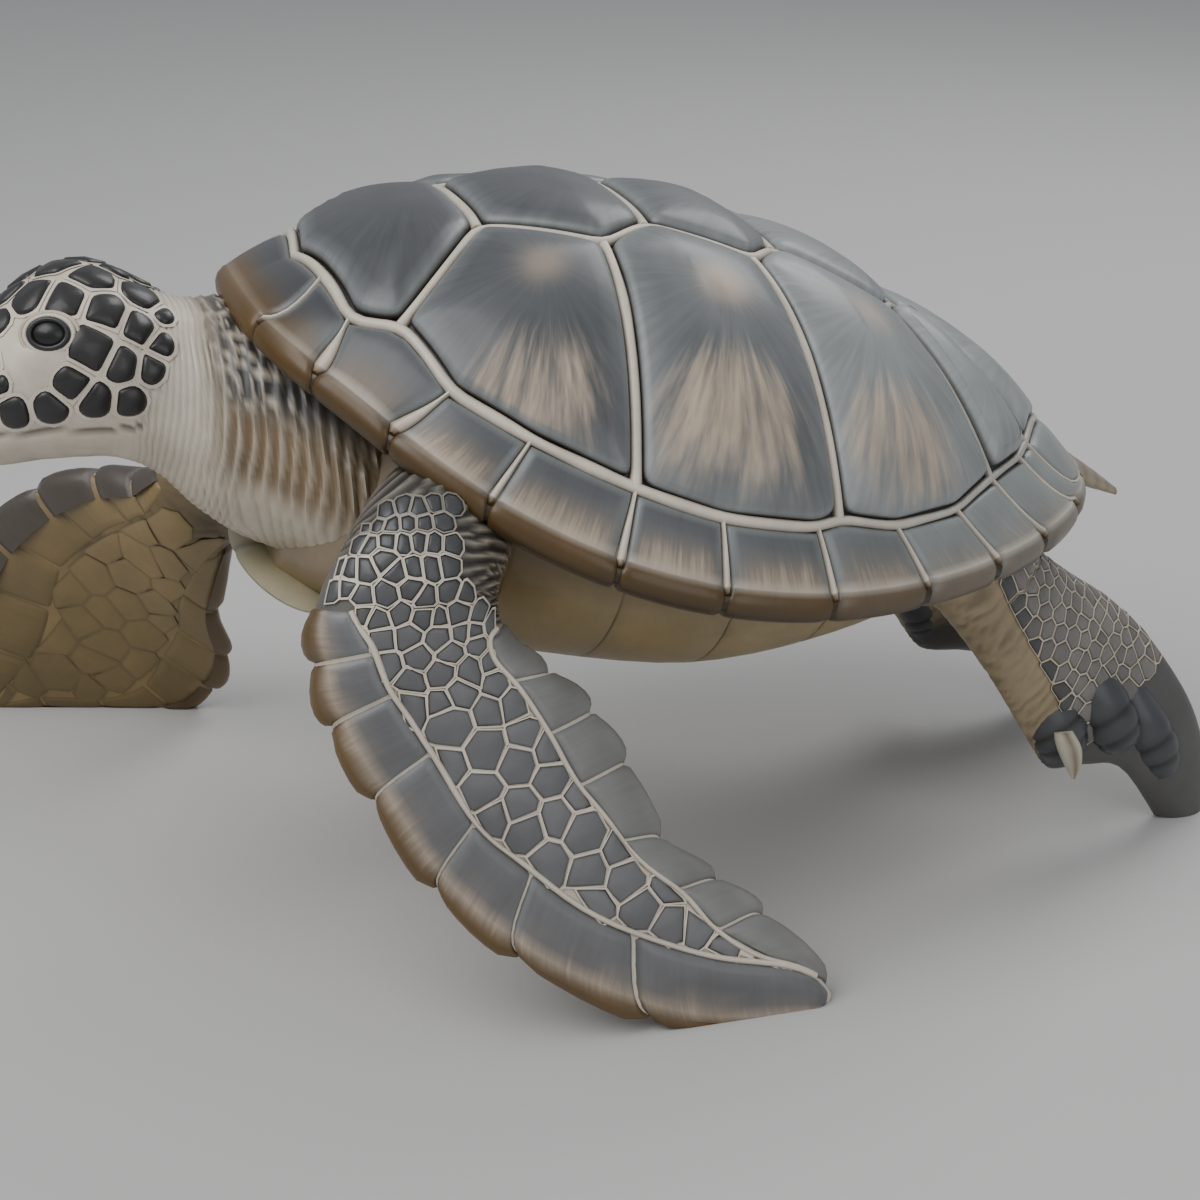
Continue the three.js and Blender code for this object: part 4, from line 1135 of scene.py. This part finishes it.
def flipperRelief(run, angle):
    cosine, under = np.cos(angle), ramp(-np.sin(angle), 0.0, 0.35)
    wander = softNoise(angle * 1.6, run * 1.3, 0)
    phase = (run + 0.5 * cosine + 0.1 * wander) * flipper["foldsPerStation"]
    phase = phase + 0.3 * softNoise(angle * 5, run * 6, 1)
    rear = ramp(cosine, -0.1, 0.7)
    zone = np.clip((1 - ramp(run, 1.6, 2.2)) + rear * (1 - ramp(run, 2.9, 3.6)), 0, 1)
    folds = creases(phase, 0.1, 0.9) * zone * (1 - 0.5 * under)
    crest = creases(phase + 0.5, 0.02, 0.45) * zone * (1 - under)
    wrinkles = creases(run * 5 + 0.8 * softNoise(angle * 3, run * 2, 4), 0.05, 0.5)
    wrinkles = wrinkles * under * (1 - ramp(run, 5, 8))
    shoulder = np.clip((1 - ramp(run, 2.8, 3.1)) + rear * (1 - ramp(run, 3.0, 3.7)), 0, 1) * (1 - 0.6 * under)
    warm = ramp(cosine, 0.3, 0.95) * (1 - ramp(run, 1.6, 3.0)) + (1 - ramp(run, 0.3, 1.2))
    # painted shade: umber in the folds; painted highlight: pale skin along the fold crests; folds and
    # wrinkles also take the shade share
    colour = painted(run.shape, "cream", ("underTan", under),
                     ("underDark", 0.6 * under * ramp(softNoise(run * 1.2, angle * 2, 2), -0.4, 0.8)),
                     ("slateDark", 0.85 * shoulder), (tint("olive", "tan", 0.35), 0.5 * np.clip(warm, 0, 1)),
                     ("umber", 0.75 * folds), ("skin", (0.25 + 0.35 * rear) * crest))
    lift = -0.6 - 2.1 * folds - 0.5 * wrinkles - 1.6 * ramp(run, 10.3, 11)
    return lift, colour, 0.8 * folds + 0.3 * wrinkles


def addFrontFlipper(casting, stations, outerSign, near):
    armpit = flipper["armpit"] if near else 0
    skin, below = limbSkin(stations, outerSign, armpit), limbSkin(stations, -outerSign, armpit)
    last = skin.last

    def shoulderTone(t, angle, tone):
        return mix(tone, paint["slateDark"], 0.75 * (1 - ramp(t * last, 1.8, 3.8)))

    def soleTone(t, angle, tone):
        return mix(tone, paint["underDark"], 0.6 * ramp(t * last, 4, 10))

    folded = np.linspace(0, 0.34, 84 if near else 44)
    t = np.concatenate([folded, np.linspace(0.35, 0.97, 34), [0.98, 0.99, 1]])
    addLimbTube(casting, skin, t, 48 if near else 36, flipperRelief)
    leading = edgeScutes if near else dict(edgeScutes, tan=0.15, curl=0.6, tone="slateDark")
    trailing = dict(edgeScutes, tan=0.06 if near else 0.9, dome=1.0, step=3.6, pale=0.15, edgeStart=0.6,
                    tone="flipperGrey")
    addEdgeScutes(casting, skin, "leading", leading)
    addEdgeScutes(casting, skin, "trailing", trailing)
    addSkinSeam(casting, skin, flipper["leadingLine"], 3.8, 1.9)
    addSkinSeam(casting, skin, flipper["trailingLine"], 3.4, 1.7)
    sizes = np.array(flipper["scaleSizes"]) * [1, 1 if near else flipper["farScaleSize"]]
    bounds = [flipper[edge + "Bound"] + flipper[edge + "Line"] for edge in ("leading", "trailing")]
    sites, ghosts = scaleSites(stations, 1.5, 9.75, sizes, *bounds, openUntil=3.2)
    tops = dict(flipperTiles, fadeIn=(1.4 / last, 2.3 / last), toneAt=shoulderTone)
    addTiles(casting, skin, sites, ghosts, tops)
    # the underside has the same rows, lower and plain
    addEdgeScutes(casting, below, "leading", underScutes)
    addEdgeScutes(casting, below, "trailing", underScutes)
    sites, ghosts = scaleSites(stations, 3.4, 9.8, flipper["soleSizes"], *bounds)
    addTiles(casting, below, sites, ghosts, dict(soleTiles, toneAt=soleTone))


def hindRelief(run, angle):
    phase = run * 3.4 + 0.9 * softNoise(angle * 2, run * 1.2, 1) + 0.4 * softNoise(angle * 6, run * 3, 2)
    inner = ramp(-np.cos(angle), 0.1, 0.4) + ramp(-np.sin(angle), -0.05, 0.3)
    bare = np.clip(inner, 0, 1) * (1 - ramp(run, 5.6, 6.8))
    folds = creases(phase, 0.05, 0.7) * bare * (0.55 + 0.45 * softNoise(angle * 3, run * 2, 3))
    # painted shade in the creases: darker colour and the shade share
    colour = painted(run.shape, "skin", (tint("underTan", "skin", 0.25), bare),
                     (tint("slateDark", "slate", 0.5), 0.92 * ramp(run, 4.9, 5.6)),
                     ("underDark", 0.4 * folds))
    return -0.4 - 1.1 * folds, colour, 0.4 * folds


def addHindLimb(casting, side):
    stations = [[a * side, b, c, d * side, e, f, g] for a, b, c, d, e, f, g in leftHindLimb]
    skin = limbSkin(stations, -side)

    def darkEdge(t, angle, tone):
        # the row beside the bare skin is darker, and so are those near the toes
        run = t * skin.last
        close = 1 - ramp(math.cos(angle) - readAt(hind["leadingLine"], run), 0.08, 0.3)
        return mix(tone, paint["slateDark"], 0.75 * max(close, float(ramp(run, 5.4, 6.6))))

    t = np.concatenate([np.linspace(0, 0.8, 76), np.linspace(0.83, 1, 8)])
    addLimbTube(casting, skin, t, 36, hindRelief)
    sites, ghosts = scaleSites(stations, 0.5, 5.7, hind["scaleSizes"], hind["leadingLine"],
                               hind["trailingLine"])
    addTiles(casting, skin, sites, ghosts, dict(hindTiles, toneAt=darkEdge))
    for stops in hind["toes"]:
        addToe(casting, stops, side)
    addClaw(casting, side)


def addToe(casting, stops, side):
    count = 26
    rows = through(stops, np.linspace(0, 1, count))
    run = unit(np.gradient(rows[:, :3], axis=0))
    aside = unit(np.cross(run, [0.0, 1.0, 0.0]))
    ahead = np.cross(aside, run)
    k = np.arange(count)
    bands = (creases(k / 5.2, 0.0, 0.55) * (k > 8) * (k < 22))[:, None]
    turn = around(20)[:, None]
    radius = (rows[:, 3:] * (1 - 0.06 * bands))[:, None]
    oval = aside[:, None] * np.cos(turn) * 0.86 + ahead[:, None] * np.sin(turn) * 1.12
    rings = rows[:, None, :3] + oval * radius
    # painted shade in the grooves between the toe's rings: umber and the shade share
    tone = painted(bands.shape, tint("slateDark", "slate", 0.9), ("umber", 0.7 * bands))
    addTube(casting, rings * [side, 1, 1], tone, 0.6 * bands)


def addClaw(casting, side):
    x, y, z, radius = (values[:, None] for values in through(hind["claw"], np.linspace(0, 1, 12)).T)
    turn = around(20)
    rings = stacked(x + np.sin(turn) * radius * 0.85, y + np.cos(turn) * radius, z)
    ridge = bell(np.abs((turn + np.pi / 2) % fullTurn - np.pi), 0, 0.4)
    tone = painted(rings.shape[:2], "horn", ("olive", 0.75 * ridge))
    addTube(casting, rings * [side, 1, 1], tone)


def addTail(casting):
    count = 28
    turn = around(24)
    y, z, halfWidth, halfHeight = (values[:, None] for values in through(tail, np.linspace(0, 1, count)).T)
    groove = creases(np.arange(count)[:, None] / 3.0 + 0.3 * softNoise(turn, 1.0, 1), 0.0, 0.6)
    scale = 1 - 0.035 * groove
    rings = stacked(np.cos(turn) * halfWidth * scale, y, z + np.sin(turn) * halfHeight * scale)
    upper = ramp(np.sin(turn), -0.2, 0.6)
    tone = painted(groove.shape, tint("skin", "underTan", 0.45), ("slate", 0.4 * upper))
    # painted shade in the grooves, through the shade share
    addTube(casting, rings, tone, 0.35 * groove)


def addNode(tree, name, kind, settings, inputs):
    # an input is a value, or text that names an earlier node and, after a dot, one of its outputs
    node = tree.nodes.new("ShaderNode" + kind)
    node.name = name
    for key, value in settings.items():
        setattr(node, key, value)
    for socket, value in inputs.items():
        if isinstance(value, str):
            source, _, output = value.partition(".")
            output = int(output) if output.isdigit() else output or 0
            tree.links.new(tree.nodes[source].outputs[output], node.inputs[socket])
        else:
            node.inputs[socket].default_value = value


def lacqueredResin():
    # Cast polyester resin, hand-painted in washes, under a satin-gloss lacquer: deep even colour, soft broad
    #     highlights with a fainter clear one over them, and painted shade mixed into the hollows.
    times, plus, minus = ({"operation": name} for name in ("MULTIPLY", "ADD", "SUBTRACT"))
    eased, colours = {"interpolation_type": "SMOOTHSTEP"}, {"data_type": "RGBA"}
    nodes = [
        ("colour", "Attribute", {"attribute_name": "paint"}, {}),
        ("washes", "Attribute", {"attribute_name": "wash"}, {}),
        ("flow", "Attribute", {"attribute_name": "flow"}, {}),
        ("place", "TexCoord", {}, {}),
        # X is the share of painted shade in recesses, Y is tan, Z is radial brushwork
        ("wash", "SeparateXYZ", {}, {0: "washes.Vector"}),  # X is recess, Y is tan, Z is radial brushwork
        # on a shell plate the brushwork runs out from its areola: direction and distance in millimetres
        ("flat", "VectorMath", times, {0: "flow.Vector", 1: (1, 1, 0)}),
        ("distance", "VectorMath", {"operation": "LENGTH"}, {0: "flat"}),
        ("direction", "VectorMath", {"operation": "NORMALIZE"}, {0: "flat"}),
        ("heading", "SeparateXYZ", {}, {0: "direction"}),
        ("seed", "SeparateXYZ", {}, {0: "flow.Vector"}),
        ("slowly", "Math", {"operation": "DIVIDE"}, {0: "distance.Value", 1: 55}),
        ("depth", "Math", plus, {0: "slowly", 1: "seed.Z"}),
        ("spokeX", "Math", times, {0: "heading.X", 1: 13}),
        ("spokeY", "Math", times, {0: "heading.Y", 1: 13}),
        ("spokes", "CombineXYZ", {}, {0: "spokeX", 1: "spokeY", 2: "depth"}),
        ("lanes", "Mix", {"data_type": "VECTOR"}, {0: "wash.Z", 4: "flow.Vector", 5: "spokes"}),
        ("rough", "TexNoise", {}, {"Vector": "lanes.1", "Scale": 1.0, "Detail": 3.0, "Roughness": 0.6}),
        # the strokes fade out close to the areola
        ("linear", "Math", minus, {0: 1.0, 1: "wash.Z"}),
        ("beyond", "MapRange", eased, {"Value": "distance.Value", "From Min": 5, "From Max": 60}),
        ("away", "Math", {"operation": "MAXIMUM"}, {0: "beyond", 1: "linear"}),
        ("stroke", "Math", minus, {0: "rough", 1: 0.5}),
        ("softStroke", "Math", times, {0: "stroke", 1: "away"}),
        ("streak", "Math", plus, {0: "softStroke", 1: 0.5}),
        # tan on a plate: a glow at the areola and a fan lower down
        ("close", "MapRange", eased, {"Value": "distance.Value", "From Min": 40, "From Max": 0}),
        ("glow", "Math", times, {0: "close", 1: 0.82}),
        ("fanStart", "MapRange", eased, {"Value": "distance.Value", "From Min": 22, "From Max": 85}),
        ("fanEnd", "MapRange", eased, {"Value": "distance.Value", "From Min": 170, "From Max": 90}),
        ("fanSpread", "MapRange", eased, {"Value": "heading.X", "From Min": 0.76, "From Max": 1.02}),
        ("fanBand", "Math", times, {0: "fanStart", 1: "fanEnd"}),
        ("fan", "Math", times, {0: "fanBand", 1: "fanSpread"}),
        ("plateShape", "Math", {"operation": "MAXIMUM"}, {0: "glow", 1: "fan"}),
        ("plateTan", "Math", times, {0: "plateShape", 1: "wash.Z"}),
        ("anyTan", "Math", plus, {0: "plateTan", 1: "linear"}),
        ("reach", "Math", times, {0: "anyTan", 1: "wash.Y"}),
        ("strong", "Math", times, {0: "softStroke", 1: 1.7}),
        ("ragged", "Math", plus, {0: "reach", 1: "strong"}),
        ("brushed", "MapRange", eased, {"Value": "ragged", "From Min": 0.1, "From Max": 1.15}),
        ("more", "Math", times, {0: "reach", 1: 1.5}),
        ("limited", "Math", {"operation": "MINIMUM"}, {0: "more", 1: 0.85}),
        ("tanMask", "Math", times, {0: "brushed", 1: "limited"}),
        ("tanned", "Mix", colours, {0: "tanMask", 6: "colour.Color", 7: (*paint["tan"], 1)}),
        # soft cloudy mottle about 45 mm across, and brush grain about 4 mm across
        ("cloud", "TexNoise", {}, {"Vector": "place.Object", "Scale": 22.0, "Detail": 3.0}),
        ("grain", "TexNoise", {}, {"Vector": "place.Object", "Scale": 250.0, "Detail": 2.0}),
        ("contrast", "MapRange", {}, {"Value": "wash.Z", "To Min": 0.25, "To Max": 0.75}),
        ("shade", "Math", times, {0: "softStroke", 1: "contrast"}),
        ("streakTone", "Math", plus, {0: "shade", 1: 1.0}),
        ("cloudTone", "MapRange", {}, {"Value": "cloud", "From Min": 0.3, "From Max": 0.7, "To Min": 0.88,
                                       "To Max": 1.12}),
        ("tone", "Math", times, {0: "streakTone", 1: "cloudTone"}),
        ("shaded", "VectorMath", {"operation": "SCALE"}, {0: "tanned.2", "Scale": "tone"}),
        # painted shade: umber mixed in by the shade share, darkest in the hollows
        ("glazeShare", "Math", times, {0: "wash.X", 1: 0.75}),
        ("glaze", "Mix", colours, {0: "glazeShare", 6: "shaded", 7: (*paint["umber"], 1)}),
        ("roughness", "MapRange", {}, {"Value": "cloud", "From Min": 0.3, "From Max": 0.7, "To Min": 0.4,
                                       "To Max": 0.54}),
        ("ribs", "Bump", {}, {"Height": "streak", "Strength": 0.16, "Distance": 0.001}),
        ("fine", "Bump", {}, {"Height": "grain", "Normal": "ribs", "Strength": 0.1, "Distance": 0.0004}),
        ("shader", "BsdfPrincipled", {}, {"Base Color": "glaze.2", "Roughness": "roughness", "IOR": 1.5,
                                          "Coat Weight": 0.25, "Coat Roughness": 0.22, "Coat IOR": 1.5,
                                          "Normal": "fine"}),
        ("output", "OutputMaterial", {}, {"Surface": "shader"}),
    ]
    material = bpy.data.materials.new("cast polyester resin, hand-painted and lacquered")
    material.use_nodes = True
    material.node_tree.nodes.clear()
    for row in nodes:
        addNode(material.node_tree, *row)
    return material


standing = {"offset": (34.1, 45.8, 270.0), "sharpEdge": 55}  # from the shell's middle to the ground frame


def buildTurtle():
    casting = Casting()
    stages = [
        ("dome", addDome), ("rim", addRim), ("trunk", addTrunk), ("neck and head", addNeck),
        ("left flipper", addFrontFlipper, leftFlipper, -1, True),
        ("right flipper", addFrontFlipper, rightFlipper, 1, False),
        ("left hind limb", addHindLimb, 1), ("right hind limb", addHindLimb, -1), ("tail", addTail),
    ]
    for name, build, *values in stages:
        build(casting, *values)
        print(name, "triangles so far", 2 * sum(map(len, casting.quads)) + sum(map(len, casting.triangles)))
    points = np.concatenate(casting.points) + standing["offset"]
    points[:, 2] = np.maximum(points[:, 2], 0)
    low, high = (np.array(corner) * 1000 for corner in cadBox)
    points = np.clip(points, low, high) / 1000
    faces = np.concatenate(casting.quads).tolist() + np.concatenate(casting.triangles).tolist()
    mesh = bpy.data.meshes.new("sea_turtle_casting")
    mesh.from_pydata(points.tolist(), [], faces)
    colour = np.clip(np.concatenate(casting.paint), 0, 1)
    rgba = np.concatenate([colour, np.ones((len(points), 1))], 1)
    mesh.attributes.new("paint", "FLOAT_COLOR", "POINT").data.foreach_set("color", rgba.ravel())
    for name, rows in (("wash", casting.wash), ("flow", casting.flow)):
        data = mesh.attributes.new(name, "FLOAT_VECTOR", "POINT").data
        data.foreach_set("vector", np.concatenate(rows).ravel())
    mesh.polygons.foreach_set("use_smooth", [True] * len(mesh.polygons))
    mesh.set_sharp_from_angle(angle=math.radians(standing["sharpEdge"]))
    mesh.materials.append(lacqueredResin())
    turtle = bpy.data.objects.new("sea_turtle_casting", mesh)
    bpy.context.collection.objects.link(turtle)
    return turtle


turtle = buildTurtle()
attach(turtle, "root")
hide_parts("sea_turtle")

studio = {
    "floorColour": "#c4c3c1", "floorReach": 14, "floorRoughness": 0.75, "skyColour": (0.92, 0.95, 1, 1),
    "skyStrength": 0.4, "lens": 78.15, "cameraPlace": (1.6841, -0.4795, 0.856), "elevation": 21.55,
    "azimuth": 73.64, "lightsAim": (0, 0, 0.25),
    # place, power and width of each soft box
    "softboxes": {"key": ((0.7, -1.7, 2.6), 64, 2.3), "fill": ((2.8, 0.9, 1.3), 16, 2.0),
                  "back": ((-1.6, 1.8, 2.4), 34, 1.6)},
}


def addStudio():
    reach = studio["floorReach"]
    mesh = bpy.data.meshes.new("studio_floor")
    mesh.from_pydata([(-reach, -reach, 0), (reach, -reach, 0), (reach, reach, 0), (-reach, reach, 0)], [],
                     [(0, 1, 2, 3)])
    material = bpy.data.materials.new("matt painted floor")  # plain pale paint, no gloss
    material.use_nodes = True
    shader = material.node_tree.nodes["Principled BSDF"]
    shader.inputs["Base Color"].default_value = (*hexToLinear(studio["floorColour"]), 1)
    shader.inputs["Roughness"].default_value = studio["floorRoughness"]
    mesh.materials.append(material)
    floor = bpy.data.objects.new("studio_floor", mesh)
    bpy.context.collection.objects.link(floor)
    for name, (spot, power, width) in studio["softboxes"].items():
        data = bpy.data.lights.new("softbox_" + name, "AREA")
        data.energy = power
        data.size = width
        lamp = bpy.data.objects.new("softbox_" + name, data)
        lamp.location = spot
        lamp.rotation_euler = (Vector(studio["lightsAim"]) - Vector(spot)).to_track_quat("-Z", "Y").to_euler()
        bpy.context.collection.objects.link(lamp)
    world = bpy.data.worlds.new("studio sky")
    world.use_nodes = True
    world.node_tree.nodes["Background"].inputs["Color"].default_value = studio["skyColour"]
    world.node_tree.nodes["Background"].inputs["Strength"].default_value = studio["skyStrength"]
    bpy.context.scene.world = world
    print("studio ready")


def addCamera():
    elevation, azimuth = math.radians(studio["elevation"]), math.radians(studio["azimuth"])
    back = Vector((math.sin(azimuth) * math.cos(elevation), -math.cos(azimuth) * math.cos(elevation),
                   math.sin(elevation)))
    right = Vector((math.cos(azimuth), math.sin(azimuth), 0))
    data = bpy.data.cameras.new("camera")
    data.lens = studio["lens"]
    data.sensor_width = 36
    data.clip_end = 60
    camera = bpy.data.objects.new("camera", data)
    turned = Matrix((right, back.cross(right), back)).transposed().to_4x4()
    camera.matrix_world = Matrix.Translation(studio["cameraPlace"]) @ turned
    bpy.context.collection.objects.link(camera)
    bpy.context.scene.camera = camera
    print("camera ready")


addStudio()
addCamera()
